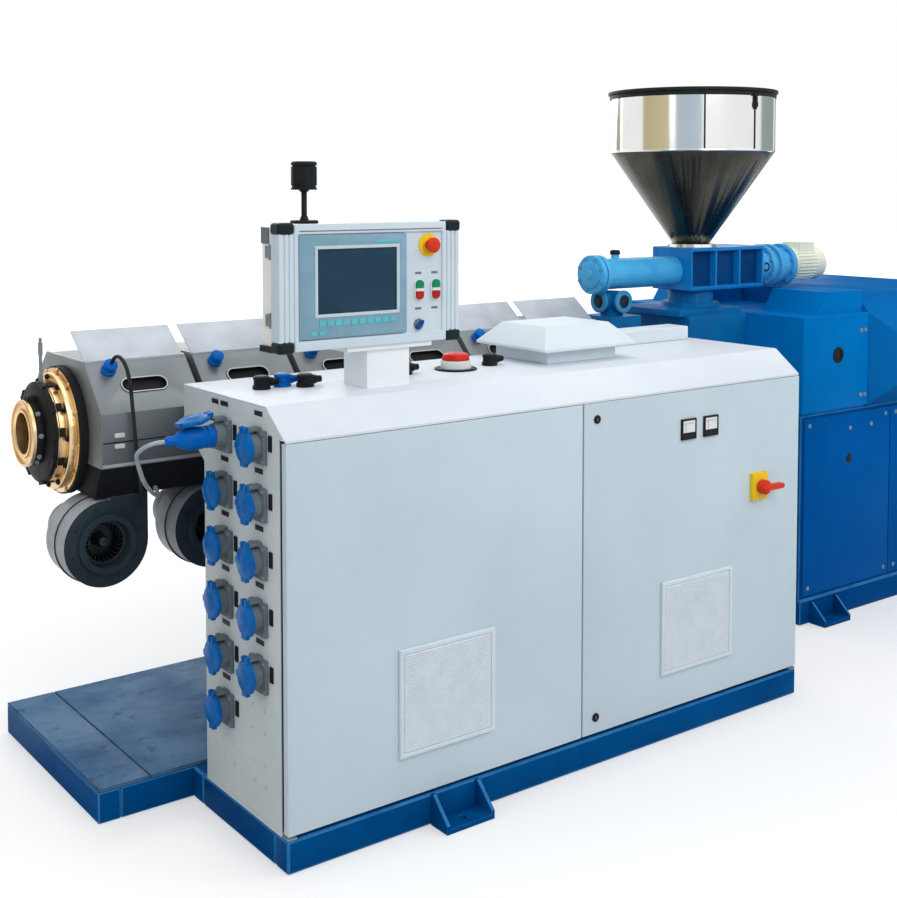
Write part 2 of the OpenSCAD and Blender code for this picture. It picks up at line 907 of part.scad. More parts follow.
module adapter_band() {
  x0 = adapter_x0 + adapter_disc_t + seat_gap;
  x1 = head_x0 - seat_gap;
  color("#17191b") place()
    difference() {
      union() {
        rod_x(x0, x1, axis_y, axis_z, band_d);
        slab([x0, axis_y - band_lug_w / 2, axis_z + band_d / 2 - 4],
             [x1, axis_y + band_lug_w / 2, axis_z + band_d / 2 + band_lug_h]);
      }
      rod_x(x0 - 1, x1 + 1, axis_y, axis_z, adapter_neck_d + 2 * seat_gap);
      slab([x0 - 1, axis_y - 2, axis_z + adapter_neck_d / 2 - 1],
           [x1 + 1, axis_y + 2, axis_z + band_d / 2 + band_lug_h + 1]);
    }
}

sensor_d = 12;
sensor_len = 120;

module melt_sensor() {
  x = head_x0 + head_len / 3;
  z0 = axis_z + head_d / 2 - 3;
  color("#a8adb0") place()
    difference() {
      rod_z(x, axis_y, z0, z0 + sensor_len, sensor_d);
      rod_x(x - sensor_d, x + sensor_d, axis_y, axis_z, head_d);
    }
}

cover_low = 69;
cover_shoulder = 73;
cover_top = 194;
cover_top_half = 140;
cover_bore = barrel_d + 36;
slot_len = 125;
slot_w = 42;
slot_depth = 12;

module cover_outline() {
  translate([axis_y, axis_z])
    polygon([[-cover_half, -cover_low], [cover_half, -cover_low], [cover_half, cover_shoulder],
             [cover_top_half, cover_top], [-cover_top_half, cover_top], [-cover_half, cover_shoulder]]);
}

// The middle of a cover's sloped face: X along the barrel, Y up the slope, Z out of it
module on_slope(x, side) {
  slope = atan2(cover_top - cover_shoulder, cover_half - cover_top_half);
  translate([x, axis_y + side * (cover_half + cover_top_half) / 2,
             axis_z + (cover_shoulder + cover_top) / 2])
    mirror([0, side > 0 ? 1 : 0, 0])
      rotate([slope, 0, 0])
        children();
}

// A recessed grip, cut square to the slope
module grip_cut(side) {
  on_slope(cover_len / 2, side)
    translate([0, 0, -slot_depth])
      linear_extrude(2 * slot_depth)
        stadium(slot_len, slot_w);
}

function cover_x(i) = barrel_x0 + i * cover_pitch;

module barrel_covers() {
  color("#a4aeb3") place()
    for (i = [0 : cover_count - 1])
      translate([cover_x(i), 0, 0])
        difference() {
          along_x(0, cover_len)
            cover_outline();
          rod_x(-1, cover_len + 1, axis_y, axis_z, cover_bore);
          grip_cut(-1);
          grip_cut(1);
        }
}

flap_len = 118;
flap_t = 3;
flap_angle = 38;

module air_flaps() {
  color("#cdd5dc") place()
    for (i = [0 : cover_count - 1])
      translate([cover_x(i) + 4, axis_y - cover_top_half + 12, axis_z + cover_top])
        rotate([flap_angle, 0, 0])
          cube([cover_len - 8, flap_len, flap_t]);
}

trough_depth = 86;
trough_half = 205;

module barrel_trough() {
  color("#1b1e22") place()
    difference() {
      along_x(barrel_x0, barrel_x0 + cover_run)
        translate([axis_y, axis_z - cover_low])
          polygon([[-cover_half + 6, 0], [-trough_half, -trough_depth], [trough_half, -trough_depth],
                   [cover_half - 6, 0]]);
      rod_x(barrel_x0 - 1, barrel_x0 + cover_run + 1, axis_y, axis_z, cover_bore);
    }
}

cover_plug_d = 40;
cover_plug_h = 34;
cover_plug_along = 58;
cover_plug_up = 52;

module cover_plugs() {
  color("#0a5fa8") place()
    for (i = [0 : cover_count - 1])
      on_slope(cover_x(i) + cover_plug_along, -1)
        translate([0, cover_plug_up, 0])
          cylinder(h = cover_plug_h, d = cover_plug_d);
}

// A blower: a scroll with a rim, its intake at the front, its tangent outlet up into the trough
scroll_y0 = 640;
scroll_w = 130;
scroll_rim = 4;
scroll_rim_t = 8;
intake_d = 124;
intake_depth = 90;
intake_lip = 12;
intake_wall = 16;
outlet_x = 10;
trough_z = axis_z - cover_low - trough_depth;

module scroll_outline(rim) {
  circle(r = blower_r + rim);
  translate([outlet_x - rim, 0])
    square([blower_r - outlet_x + 2 * rim, trough_z - blower_z]);
}

module blower_scrolls() {
  rim_y = scroll_y0 + (scroll_w - scroll_rim_t) / 2;
  color("#323c46") place()
    for (i = [0 : blower_count - 1])
      translate([blower_x0 + i * cover_pitch, 0, blower_z])
        difference() {
          union() {
            along_y(scroll_y0, scroll_y0 + scroll_w)
              scroll_outline(0);
            along_y(rim_y, rim_y + scroll_rim_t)
              scroll_outline(scroll_rim);
            rod_y(0, scroll_y0 - intake_lip, scroll_y0 + 1, 0, intake_d + 2 * intake_wall);
          }
          rod_y(0, scroll_y0 - intake_lip - 1, scroll_y0 + intake_depth, 0, intake_d);
        }
}

// A motor behind each scroll, with cooling fins and a fan cowl
motor_d = 122;
motor_len = 140;
motor_fin = 5;
motor_fins = 6;
motor_cowl = 40;

module blower_motors() {
  y0 = scroll_y0 + scroll_w;
  fin_pitch = (motor_len - motor_cowl) / motor_fins;
  color("#b4b9bc") place()
    for (i = [0 : blower_count - 1])
      translate([blower_x0 + i * cover_pitch, 0, blower_z]) {
        rod_y(0, y0, y0 + motor_len, 0, motor_d - 4 * motor_fin);
        for (k = [0 : motor_fins - 1])
          rod_y(0, y0 + k * fin_pitch, y0 + k * fin_pitch + motor_fin, 0, motor_d);
        rod_y(0, y0 + motor_len - motor_cowl, y0 + motor_len, 0, motor_d);
      }
}

support_x = barrel_x0 + cover_run - 130;
support_w = 120;
support_half = 110;
support_plate = 14;

module barrel_support() {
  color("#004a86") place() {
    slab([support_x - support_w / 2, axis_y - support_half, deck_top],
         [support_x + support_w / 2, axis_y + support_half, trough_z]);
    slab([support_x - support_w, axis_y - support_half - 40, deck_top],
         [support_x + support_w, axis_y + support_half + 40, deck_top + support_plate]);
  }
}

// FEEDING: a vent on the barrel, a feed block, and a screw feeder under the hopper
vent_x = feed_x0 - bare_len / 2;
vent_w = 150;
vent_h = 190;
vent_d = 84;
port_d = 76;
port_len = 60;

module vent_chamber() {
  z0 = axis_z + barrel_d / 2 - 14;
  z1 = axis_z + vent_h;
  zp = feeder_z - feeder_d / 2 - vent_d / 2;
  color("#0c5ea6") place()
    difference() {
      union() {
        slab([vent_x - vent_w / 2, axis_y - vent_w / 2, z0],
             [vent_x + vent_w / 2, axis_y + vent_w / 2, z1]);
        rod_z(vent_x, axis_y, z1 - 1, zp + vent_d / 2 - 8, vent_d);
        rod_x(vent_x - port_len, vent_x, axis_y, zp, port_d);
        rod_y(vent_x, axis_y - port_len, axis_y, zp, port_d);
      }
      rod_x(vent_x - vent_w, vent_x + vent_w, axis_y, axis_z, barrel_d);
    }
}

hopper_from_feed = 205;
hopper_x = feed_x0 + hopper_from_feed;
feed_half = 185;
feed_drop = 255;
feed_rise = 205;
feed_low = axis_z - feed_drop;
feed_top = axis_z + feed_rise;
feed_plate_t = 22;
neck_d = 170;
body_drop = 73;
neck_z1 = feeder_z - body_drop;

module feed_block() {
  color("#0a559c") place() {
    slab([feed_x0, axis_y - feed_half, feed_low],
         [gear_x0, axis_y + feed_half, feed_top - feed_plate_t]);
    slab([feed_x0 - 30, axis_y - feed_half + 20, feed_top - feed_plate_t],
         [gear_x0, axis_y + feed_half - 20, feed_top]);
    rod_z(hopper_x, axis_y, feed_top - 1, neck_z1, neck_d);
    rod_z(hopper_x, axis_y, feed_top - 1, feed_top + 14, neck_d + 50);
  }
}

tube_len = 415;
body_len = 410;
body_before = 105;
body_x0 = hopper_x - body_before;
body_x1 = body_x0 + body_len;
feeder_x0 = body_x0 - tube_len;
body_half = 100;
body_rise = 87;
body_z1 = feeder_z + body_rise;
body_plate = 14;
rib_t = 10;
rib_depth = 26;
tube_flange_d = 140;
tube_flange_t = 18;
tube_cap_x = 120;
tube_cap_h = 26;
tube_cap_d = 30;

module feeder_tube() {
  color("#0078c8") place() {
    rod_x(feeder_x0, body_x0, axis_y, feeder_z, feeder_d);
    rod_x(feeder_x0, feeder_x0 + tube_flange_t, axis_y, feeder_z, tube_flange_d);
    rod_x(feeder_x0 + tube_flange_t + 6, feeder_x0 + 2 * tube_flange_t + 6, axis_y, feeder_z, tube_flange_d);
    rod_z(feeder_x0 + tube_cap_x, axis_y, feeder_z, feeder_z + feeder_d / 2 + tube_cap_h, tube_cap_d);
  }
}

// A cast box with plates top and bottom and ribs between them on both faces
module feeder_body() {
  color("#0a6cb8") place() {
    slab([body_x0, axis_y - body_half + rib_depth, neck_z1],
         [body_x1, axis_y + body_half - rib_depth, body_z1]);
    for (z = [neck_z1, body_z1 - body_plate])
      slab([body_x0, axis_y - body_half, z], [body_x1, axis_y + body_half, z + body_plate]);
    for (i = [0 : 3])
      slab([body_x0 + i * (body_x1 - body_x0 - rib_t) / 3, axis_y - body_half, neck_z1],
           [body_x0 + i * (body_x1 - body_x0 - rib_t) / 3 + rib_t, axis_y + body_half, body_z1]);
  }
}

drive_len = 230;
drive_x1 = body_x1 + drive_len;
ring_d = 172;

module feeder_drive() {
  color("#0872c0") place() {
    rod_x(body_x1, drive_x1, axis_y, feeder_z, ring_d - 30);
    for (x = [body_x1, body_x1 + 80, body_x1 + 130, drive_x1 - 24])
      rod_x(x, x + 24, axis_y, feeder_z, ring_d);
  }
}

feeder_motor_len = 208;
feeder_motor_x1 = drive_x1 + feeder_motor_len;
feeder_motor_d = 132;

module feeder_motor() {
  color("#dcdcbe") place() {
    rod_x(drive_x1, feeder_motor_x1, axis_y, feeder_z, feeder_motor_d);
    slab([drive_x1 + 60, axis_y - 45, feeder_z],
         [drive_x1 + 150, axis_y + 45, feeder_z + feeder_motor_d / 2 + 24]);
  }
}

// HOPPER: a spun shell with a hinged lid
hopper_z0 = body_z1;
hopper_z1 = hopper_z0 + hopper_cone_h;
hopper_z2 = hopper_z1 + hopper_wall_h;
lid_t = 12;
lid_over = 10;
lid_pin_d = 10;
lid_ear = 14;
lid_tongue = 40;
lid_reach = 25;
lid_pin_y = axis_y + hopper_d / 2 + lid_reach;
lid_pin_z = hopper_z2 + lid_t / 2 + seat_gap;
ear_side = 5;

module hopper_shell() {
  r_out = hopper_d / 2;
  r_low = hopper_outlet / 2;
  color("#c6cacb") place() {
    translate([hopper_x, axis_y, 0])
      rotate_extrude($fn = 128)
        polygon([[r_low, hopper_z0], [r_out, hopper_z1], [r_out, hopper_z2],
                 [r_out - hopper_t, hopper_z2], [r_out - hopper_t, hopper_z1], [r_low - hopper_t, hopper_z0]]);
    for (side = [-1, 1])
      translate([hopper_x + side * (lid_tongue / 2 + ear_side + lid_ear / 2) - lid_ear / 2, 0, 0])
        along_x(0, lid_ear)
          polygon([[axis_y + r_out - 2, hopper_z2 - 70], [axis_y + r_out - 2, hopper_z2 - 25],
                   [lid_pin_y - 10, hopper_z2 - 8], [lid_pin_y - 10, lid_pin_z + 10],
                   [lid_pin_y + 10, lid_pin_z + 10], [lid_pin_y + 10, lid_pin_z - 14]]);
    rod_x(hopper_x - lid_tongue / 2 - ear_side - 1, hopper_x + lid_tongue / 2 + ear_side + 1,
          lid_pin_y, lid_pin_z, lid_pin_d);
  }
}

module hopper_lid() {
  color("#2b2e30") place()
    difference() {
      union() {
        rod_z(hopper_x, axis_y, hopper_z2 + seat_gap, hopper_z2 + seat_gap + lid_t,
              hopper_d + 2 * lid_over);
        slab([hopper_x - lid_tongue / 2, axis_y, hopper_z2 + seat_gap],
             [hopper_x + lid_tongue / 2, lid_pin_y, hopper_z2 + seat_gap + lid_t]);
        rod_x(hopper_x - lid_tongue / 2, hopper_x + lid_tongue / 2, lid_pin_y, lid_pin_z,
              2 * lid_pin_d);
      }
      rod_x(hopper_x - lid_tongue, hopper_x + lid_tongue, lid_pin_y, lid_pin_z, lid_pin_d + 2 * pin_play);
    }
}

// DRIVE: a base channel, a gear frame, the gearbox cover and a chamfered guard
gear_base_h = 88;
gear_panel_gap = 8;
gear_panel_inset = 8;

module gear_frame() {
  color("#00509a") place() {
    slab([gear_x0, gear_y0, 0], [gear_x1, gear_y0 + gear_w, gear_base_h]);
    slab([gear_x0, gear_y0 + gear_panel_inset, gear_base_h - 1],
         [gear_x1, gear_y0 + gear_w - gear_panel_inset, gear_split - gear_panel_gap]);
  }
}

// Panels cover both faces of the frame, with a seam under the end of the gearbox cover
gear_seam = 5;
gear_panel_t = 6;
gear_first = 534;
gear_seam_x = gear_x0 + gear_first;
gear_edge = 14;

module gear_panels() {
  z0 = gear_base_h + gear_edge;
  z1 = gear_split - gear_panel_gap - gear_edge;
  ends = [gear_x0 + gear_edge, gear_seam_x, gear_x1 - gear_edge];
  color("#0055a0") place()
    for (i = [0, 1])
      for (y = [gear_y0 + gear_panel_inset - gear_panel_t, gear_y0 + gear_w - gear_panel_inset])
        slab([ends[i] + gear_seam / 2, y, z0], [ends[i + 1] - gear_seam / 2, y + gear_panel_t, z1]);
}

hump_inset = 30;
hump_rise = 82;
hump_w = 260;
hump_slope = 60;
gear_cover_x1 = gear_x0 + gear_cover_len;

module gearbox_cover() {
  color("#005faf") place() {
    slab([gear_x0, gear_y0, gear_split], [gear_cover_x1, gear_y0 + gear_w, gear_top]);
    slab([gear_x0 + 6, gear_y0 + 10, gear_split - gear_panel_gap],
         [gear_cover_x1 - 6, gear_y0 + gear_w - 10, gear_split + 1]);
    for (y = [gear_y0 + hump_inset, gear_y0 + gear_w - hump_inset - hump_w])
      along_y(y, y + hump_w)
        polygon([[gear_x0 + 2 * hump_slope, gear_top - 1],
                 [gear_x0 + 3 * hump_slope, gear_top + hump_rise],
                 [gear_cover_x1, gear_top + hump_rise], [gear_cover_x1, gear_top - 1]]);
  }
}

// The guard is a box with all its edges cut at 45 degrees
guard_low = gear_split;
guard_end_cut = guard_out;

module guard_end_outline() {
  half = gear_w / 2 + guard_out;
  low_cut = guard_out;
  top_cut = guard_top - gear_top + guard_out;
  translate([axis_y, 0])
    polygon([[-half + low_cut, guard_low], [half - low_cut, guard_low],
             [half, guard_low + low_cut], [half, guard_top - top_cut],
             [half - top_cut, guard_top], [-half + top_cut, guard_top],
             [-half, guard_top - top_cut], [-half, guard_low + low_cut]]);
}

module guard_plan_outline() {
  half = gear_w / 2 + guard_out;
  long = gear_x1 - gear_cover_x1;
  cut = guard_end_cut;
  translate([gear_cover_x1, axis_y])
    polygon([[0, -half + cut], [cut, -half], [long - cut, -half], [long, -half + cut],
             [long, half - cut], [long - cut, half], [cut, half], [0, half - cut]]);
}

module drive_guard() {
  color("#3796d7") place() {
    intersection() {
      along_x(gear_cover_x1, gear_x1)
        guard_end_outline();
      translate([0, 0, guard_low - 1])
        linear_extrude(guard_top - guard_low + 2)
          guard_plan_outline();
    }
    slab([gear_cover_x1 + 6, gear_y0 + 10, gear_split - gear_panel_gap],
         [gear_x1 - 6, gear_y0 + gear_w - 10, gear_split + 1]);
  }
}

base_frame();
deck_plates();
cabinet_plinth();
foot_brackets();
cabinet_floor();
cabinet_ends();
cabinet_back();
cabinet_roof();
door_pivots();
left_door();
right_door();
left_filter();
right_filter();
door_locks();
door_meters();
switch_plate();
switch_handle();
socket_bodies();
socket_lids();
heater_plug();
plug_cable();
cover_cable();
roof_hood();
roof_duct();
roof_lamp();
roof_glands();
terminal_pedestal();
terminal_case();
terminal_frame();
corner_caps();
display_bezel();
display_glass();
push_buttons();
emergency_stop();
signal_beacon();
barrel();
barrel_head();
clamp_ring();
die_adapter();
adapter_band();
melt_sensor();
barrel_covers();
air_flaps();
barrel_trough();
cover_plugs();
blower_scrolls();
blower_motors();
barrel_support();
vent_chamber();
feed_block();
feeder_tube();
feeder_body();
feeder_drive();
feeder_motor();
hopper_shell();
hopper_lid();
gear_frame();
gear_panels();
gearbox_cover();
drive_guard();
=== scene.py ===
import json
import math

import bmesh
import bpy
from mathutils import Matrix, Vector

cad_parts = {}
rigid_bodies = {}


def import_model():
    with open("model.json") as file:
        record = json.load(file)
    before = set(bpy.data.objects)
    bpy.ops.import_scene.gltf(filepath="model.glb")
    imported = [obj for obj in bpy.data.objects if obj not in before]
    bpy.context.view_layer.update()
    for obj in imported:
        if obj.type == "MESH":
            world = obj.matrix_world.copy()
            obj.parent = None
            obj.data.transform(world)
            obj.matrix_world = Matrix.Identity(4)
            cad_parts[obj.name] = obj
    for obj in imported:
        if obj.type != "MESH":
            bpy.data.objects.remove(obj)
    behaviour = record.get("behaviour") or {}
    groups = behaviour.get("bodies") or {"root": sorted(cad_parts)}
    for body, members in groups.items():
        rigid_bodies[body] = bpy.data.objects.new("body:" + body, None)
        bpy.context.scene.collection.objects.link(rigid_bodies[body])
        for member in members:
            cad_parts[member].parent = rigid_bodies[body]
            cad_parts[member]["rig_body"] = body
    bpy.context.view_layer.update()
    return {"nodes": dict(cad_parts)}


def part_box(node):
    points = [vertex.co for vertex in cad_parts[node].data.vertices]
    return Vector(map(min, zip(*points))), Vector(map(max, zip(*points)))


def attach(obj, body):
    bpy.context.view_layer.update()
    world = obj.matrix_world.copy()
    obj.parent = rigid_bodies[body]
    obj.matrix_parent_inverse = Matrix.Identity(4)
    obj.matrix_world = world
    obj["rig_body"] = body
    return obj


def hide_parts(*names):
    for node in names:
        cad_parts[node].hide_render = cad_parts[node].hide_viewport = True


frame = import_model()
scene = bpy.context.scene


# STUDIO: a pale floor under soft lamps, seen by a person who stands at the die end of the machine. The
# room is white where the camera, a gloss or a glass looks at it, and the floor keeps the shadow.
# Coloured cards that only a gloss sees give the polished hopper its upright stripes.
def tone(red, green, blue):
    """A colour as a screen shows it, in the linear values that a shader takes."""
    shares = [value / 255 for value in (red, green, blue)]
    linear = [s / 12.92 if s <= 0.04045 else ((s + 0.055) / 1.055) ** 2.4 for s in shares]
    return (*linear, 1.0)


def linked(name, data):
    """A new object in the scene."""
    made = bpy.data.objects.new(name, data)
    scene.collection.objects.link(made)
    return made


def wired(tree, node, inputs):
    """A node's inputs, each linked to a socket or set to a value."""
    for socket, value in inputs.items():
        if isinstance(value, bpy.types.NodeSocket):
            tree.links.new(value, node.inputs[socket])
        else:
            node.inputs[socket].default_value = value


def added(tree, kind, inputs=None, **settings):
    """A new node with its settings and its inputs."""
    node = tree.nodes.new(kind)
    for name, value in settings.items():
        setattr(node, name, value)
    wired(tree, node, inputs or {})
    return node


def any_seen(tree):
    """One where a camera, glossy or transmission ray looks."""
    path = added(tree, "ShaderNodeLightPath").outputs
    seen = path["Is Camera Ray"]
    for ray in ("Is Glossy Ray", "Is Transmission Ray"):
        seen = added(tree, "ShaderNodeMath", {0: seen, 1: path[ray]}, operation="MAXIMUM").outputs[0]
    return seen


def new_material(name, inputs):
    """A material, its node tree and its shader with these inputs."""
    material = bpy.data.materials.new(name)
    material.use_nodes = True
    tree = material.node_tree
    shader = tree.nodes["Principled BSDF"]
    wired(tree, shader, inputs)
    return material, tree, shader


photo_width = 897
focal_pixels = 1302.42
camera_data = bpy.data.cameras.new("die_end_view")
camera_data.sensor_fit = "HORIZONTAL"
camera_data.sensor_width = 36
camera_data.lens = focal_pixels / photo_width * camera_data.sensor_width
camera_data.shift_y = -0.2152
camera = linked("die_end_view", camera_data)
camera.location = (-3.0802, -3.24475, 1.6)
camera.rotation_euler = (math.radians(90 - 3.033), 0, math.radians(-36.776))
scene.camera = camera
scene.view_settings.view_transform = "Standard"

white = (1.0, 1.0, 1.0, 1.0)
room = bpy.data.worlds.new("white_room")
room.use_nodes = True
scene.world = room
air = room.node_tree
room_light = air.nodes["Background"]
wired(air, room_light, {"Color": (0.93, 0.96, 1.0, 1.0), "Strength": 0.5})
room_white = added(air, "ShaderNodeBackground", {"Color": white, "Strength": 1.0})
room_mix = added(air, "ShaderNodeMixShader", {
    "Fac": any_seen(air), 1: room_light.outputs[0], 2: room_white.outputs[0]})
wired(air, air.nodes["World Output"], {"Surface": room_mix.outputs[0]})

square = ((-1, -1), (1, -1), (1, 1), (-1, 1))
floor_half = 40
floor_z = -0.001
floor_mesh = bpy.data.meshes.new("studio_floor")
floor_corners = [(x * floor_half, y * floor_half, floor_z) for x, y in square]
floor_mesh.from_pydata(floor_corners, [], [(0, 1, 2, 3)])
floor_paint, floor_tree, floor_shader = new_material("studio_floor", {
    "Base Color": (0.6, 0.6, 0.6, 1.0), "Roughness": 0.9, "Specular IOR Level": 0.1, "Emission Color": white})
# Away from the machine the floor glows more and turns white; close to it the glow is lower, a painted shade
# halo round the machine besides its real shadow.
floor_place = added(floor_tree, "ShaderNodeTexCoord").outputs["Object"]
floor_reach = added(floor_tree, "ShaderNodeVectorMath", {0: floor_place}, operation="LENGTH")
floor_shade_halo = added(floor_tree, "ShaderNodeMapRange", {
    "From Min": 1.2, "From Max": 6.0, "To Min": 0.38, "To Max": 0.88, "Value": floor_reach.outputs["Value"]})
floor_glow = added(floor_tree, "ShaderNodeMath", {0: any_seen(floor_tree), 1: floor_shade_halo.outputs["Result"]},
                   operation="MULTIPLY")
wired(floor_tree, floor_shader, {"Emission Strength": floor_glow.outputs[0]})
floor_mesh.materials.append(floor_paint)
studio_floor = linked("studio_floor", floor_mesh)

lamp_aim = Vector((0, 0, 0.7))
for lamp_name, lamp_place, lamp_size, lamp_watts in [
    ("front_lamp", (-1.5, -5.5, 4.5), 4.0, 158),
    ("die_end_lamp", (-5.5, -0.5, 3.5), 3.0, 34),
    ("far_lamp", (3.5, -4.0, 5.0), 3.5, 70),
    ("top_lamp", (0.0, 0.5, 5.5), 4.0, 75),
    ("back_lamp", (0.5, 5.5, 3.5), 4.0, 110),
]:
    lamp_data = bpy.data.lights.new(lamp_name, "AREA")
    lamp_data.size = lamp_size
    lamp_data.energy = lamp_watts
    lamp = linked(lamp_name, lamp_data)
    lamp.location = lamp_place
    lamp.rotation_euler = (lamp_aim - lamp.location).to_track_quat("-Z", "Y").to_euler()

card_distance = 6.0
card_upright = Vector((0, 0, 3.0))
card_middle = Vector((0.64, 0.185, 3.05))
card_start = 222.7
for card_name, card_turn, card_width, card_colour in [
    ("sand_card", 50, 4.4, (220, 202, 160)),
    ("near_card", 4, 3.8, (208, 219, 230)),
    ("right_card", -128, 4.6, (176, 188, 184)),
    ("left_card", 124, 1.6, (188, 180, 162)),
    ("rear_card", -164, 1.2, (84, 94, 96)),
]:
    card_angle = math.radians(card_start - card_turn)
    outward = Vector((math.cos(card_angle), math.sin(card_angle), 0))
    sideways = Vector((-outward.y, outward.x, 0)) * card_width / 2
    centre = card_middle + outward * card_distance
    card_mesh = bpy.data.meshes.new(card_name)
    card_corners = [centre + across * sideways + above * card_upright for across, above in square]
    card_mesh.from_pydata(card_corners, [], [(0, 1, 2, 3)])
    card_mesh.materials.append(new_material(card_name, {
        "Base Color": tone(*card_colour), "Specular IOR Level": 0.0})[0])
    card = linked(card_name, card_mesh)
    card.visible_camera = False
    card.visible_diffuse = False
    card.visible_shadow = False
    card.visible_transmission = False


# CABLES: a grey heater lead from the plug down to the trough, and a dark sensor lead over the first
# cover. Both are moulded rubber, and they hang from one fitting to the next.
def new_group(name, kind, takes, gives):
    """A node group with its sockets, what it is given, and the node for what it makes."""
    group = bpy.data.node_groups.new(name, kind)
    for way, sockets in (("INPUT", takes), ("OUTPUT", gives)):
        for socket, sort in sockets.items():
            group.interface.new_socket(socket, in_out=way, socket_type="NodeSocket" + sort)
    return group, added(group, "NodeGroupInput").outputs, added(group, "NodeGroupOutput")


def patchy(tree, texture, low, high, most=1.0):
    """A share that noise gives: none below its low value, and the most above its high one."""
    noise = added(tree, "ShaderNodeTexNoise", texture)
    return added(tree, "ShaderNodeMapRange", {
        "From Min": low, "From Max": high, "To Max": most, "Value": noise.outputs[0]}).outputs["Result"]


def blended(tree, share, first, second):
    """Two colours, mixed by a share."""
    return added(tree, "ShaderNodeMix", {"Factor": share, 6: first, 7: second}, data_type="RGBA").outputs[2]


def mottle_group():
    """Paint or plastic that isn't quite even: patches of a second tone, and a fine grain for the relief."""
    group, given, made = new_group(
        "coat_mottle", "ShaderNodeTree",
        {"Colour": "Color", "Patch": "Color", "Patch Scale": "Float", "Patch Amount": "Float",
         "Grain Scale": "Float", "Gloss": "Float"},
        {"Colour": "Color", "Roughness": "Float", "Height": "Float"})
    place = added(group, "ShaderNodeTexCoord").outputs["Object"]
    patches = patchy(group, {"Detail": 5, "Roughness": 0.62, "Vector": place, "Scale": given["Patch Scale"]},
                     0.4, 0.66)
    share = added(group, "ShaderNodeMath", {0: patches, 1: given["Patch Amount"]},
                  operation="MULTIPLY").outputs[0]
    dulling = added(group, "ShaderNodeMath", {0: share, 1: 0.22, 2: given["Gloss"]},
                    operation="MULTIPLY_ADD", use_clamp=True)
    grain = added(group, "ShaderNodeTexNoise", {"Detail": 2, "Vector": place, "Scale": given["Grain Scale"]})
    wired(group, made, {"Colour": blended(group, share, given["Colour"], given["Patch"]),
                        "Roughness": dulling.outputs[0], "Height": grain.outputs[0]})
    return group


coat_mottle = mottle_group()


def finish(name, pattern, values, relief, metallic=0.0, coat=0.0, specular=0.5):
    """A material whose colour, roughness and relief come from one of the pattern groups."""
    material, tree, shader = new_material(name, {
        "Metallic": metallic, "Coat Weight": coat, "Coat Roughness": 0.12, "Specular IOR Level": specular})
    effect = added(tree, "ShaderNodeGroup", values, node_tree=pattern).outputs
    bump = added(tree, "ShaderNodeBump", {"Distance": relief, "Height": effect["Height"]})
    wired(tree, shader, {"Base Color": effect["Colour"], "Roughness": effect["Roughness"],
                         "Normal": bump.outputs["Normal"]})
    return material


def moulded(name, colour, patch, gloss=0.3):
    """Moulded plastic or rubber with a fine spark-eroded grain, or a plated part with a dull gloss."""
    values = {"Colour": tone(*colour), "Patch": tone(*patch), "Patch Scale": 22.0, "Patch Amount": 0.5,
              "Grain Scale": 1400.0, "Gloss": gloss}
    return finish(name, coat_mottle, values, 0.00012, specular=0.09)


cable_grey = moulded("grey_cable_sheath", (176, 184, 188), (120, 128, 134), 0.45)
cable_dark = moulded("dark_cable_sheath", (44, 48, 52), (24, 26, 29), 0.5)

plug_lead_d = 0.011
plug_lead = [
    (-1.7753, -0.36175, 0.9900), (-1.7880, -0.36175, 0.9900), (-1.8015, -0.36025, 0.9885),
    (-1.8140, -0.35525, 0.9840), (-1.8230, -0.34725, 0.9775), (-1.8290, -0.33775, 0.9690),
    (-1.8300, -0.32725, 0.9600), (-1.8270, -0.31825, 0.9520), (-1.8200, -0.30575, 0.9405),
    (-1.8130, -0.29375, 0.9285), (-1.8055, -0.28225, 0.9165), (-1.7975, -0.27025, 0.9045),
    (-1.7895, -0.25875, 0.8925), (-1.7815, -0.24675, 0.8810), (-1.7725, -0.23475, 0.8705),
    (-1.7637, -0.22205, 0.8608), (-1.7507, -0.20405, 0.8484), (-1.7374, -0.18585, 0.8368),
    (-1.7240, -0.16725, 0.8259), (-1.7104, -0.14815, 0.8160), (-1.6970, -0.12845, 0.8073),
    (-1.6839, -0.10795, 0.8000), (-1.6715, -0.08645, 0.7948), (-1.6605, -0.06365, 0.7928),
    (-1.6551, -0.04865, 0.7941), (-1.6520, -0.03545, 0.7975), (-1.6510, -0.02635, 0.8014)]
cover_lead_d = 0.010
cover_lead = [
    (-1.757, -0.00175, 1.140), (-1.756, -0.01775, 1.154), (-1.754, -0.03675, 1.160),
    (-1.752, -0.05675, 1.155), (-1.749, -0.07375, 1.140), (-1.746, -0.08475, 1.115),
    (-1.743, -0.09075, 1.082), (-1.741, -0.09375, 1.045), (-1.738, -0.09475, 1.005),
    (-1.735, -0.09475, 0.965), (-1.731, -0.09375, 0.930), (-1.727, -0.09175, 0.897),
    (-1.722, -0.08775, 0.865), (-1.716, -0.08075, 0.834), (-1.709, -0.07075, 0.809),
    (-1.701, -0.05775, 0.795), (-1.693, -0.04975, 0.790), (-1.691, -0.02625, 0.8015)]


def lead(name, route, diameter, sheath, node):
    """A round cable on a smooth line through its route."""
    line = bpy.data.curves.new(name, "CURVE")
    line.dimensions = "3D"
    line.bevel_depth = diameter / 2
    line.bevel_resolution = 4
    line.resolution_u = 4
    line.use_fill_caps = True
    spline = line.splines.new("BEZIER")
    spline.bezier_points.add(len(route) - 1)
    for point, place in zip(spline.bezier_points, route):
        point.co = place
        point.handle_left_type = "AUTO"
        point.handle_right_type = "AUTO"
    line.materials.append(sheath)
    cable = linked(name, line)
    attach(cable, "machine")
    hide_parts(node)


lead("heater_lead", plug_lead, plug_lead_d, cable_grey, "plug_cable")
lead("sensor_lead", cover_lead, cover_lead_d, cable_dark, "cover_cable")


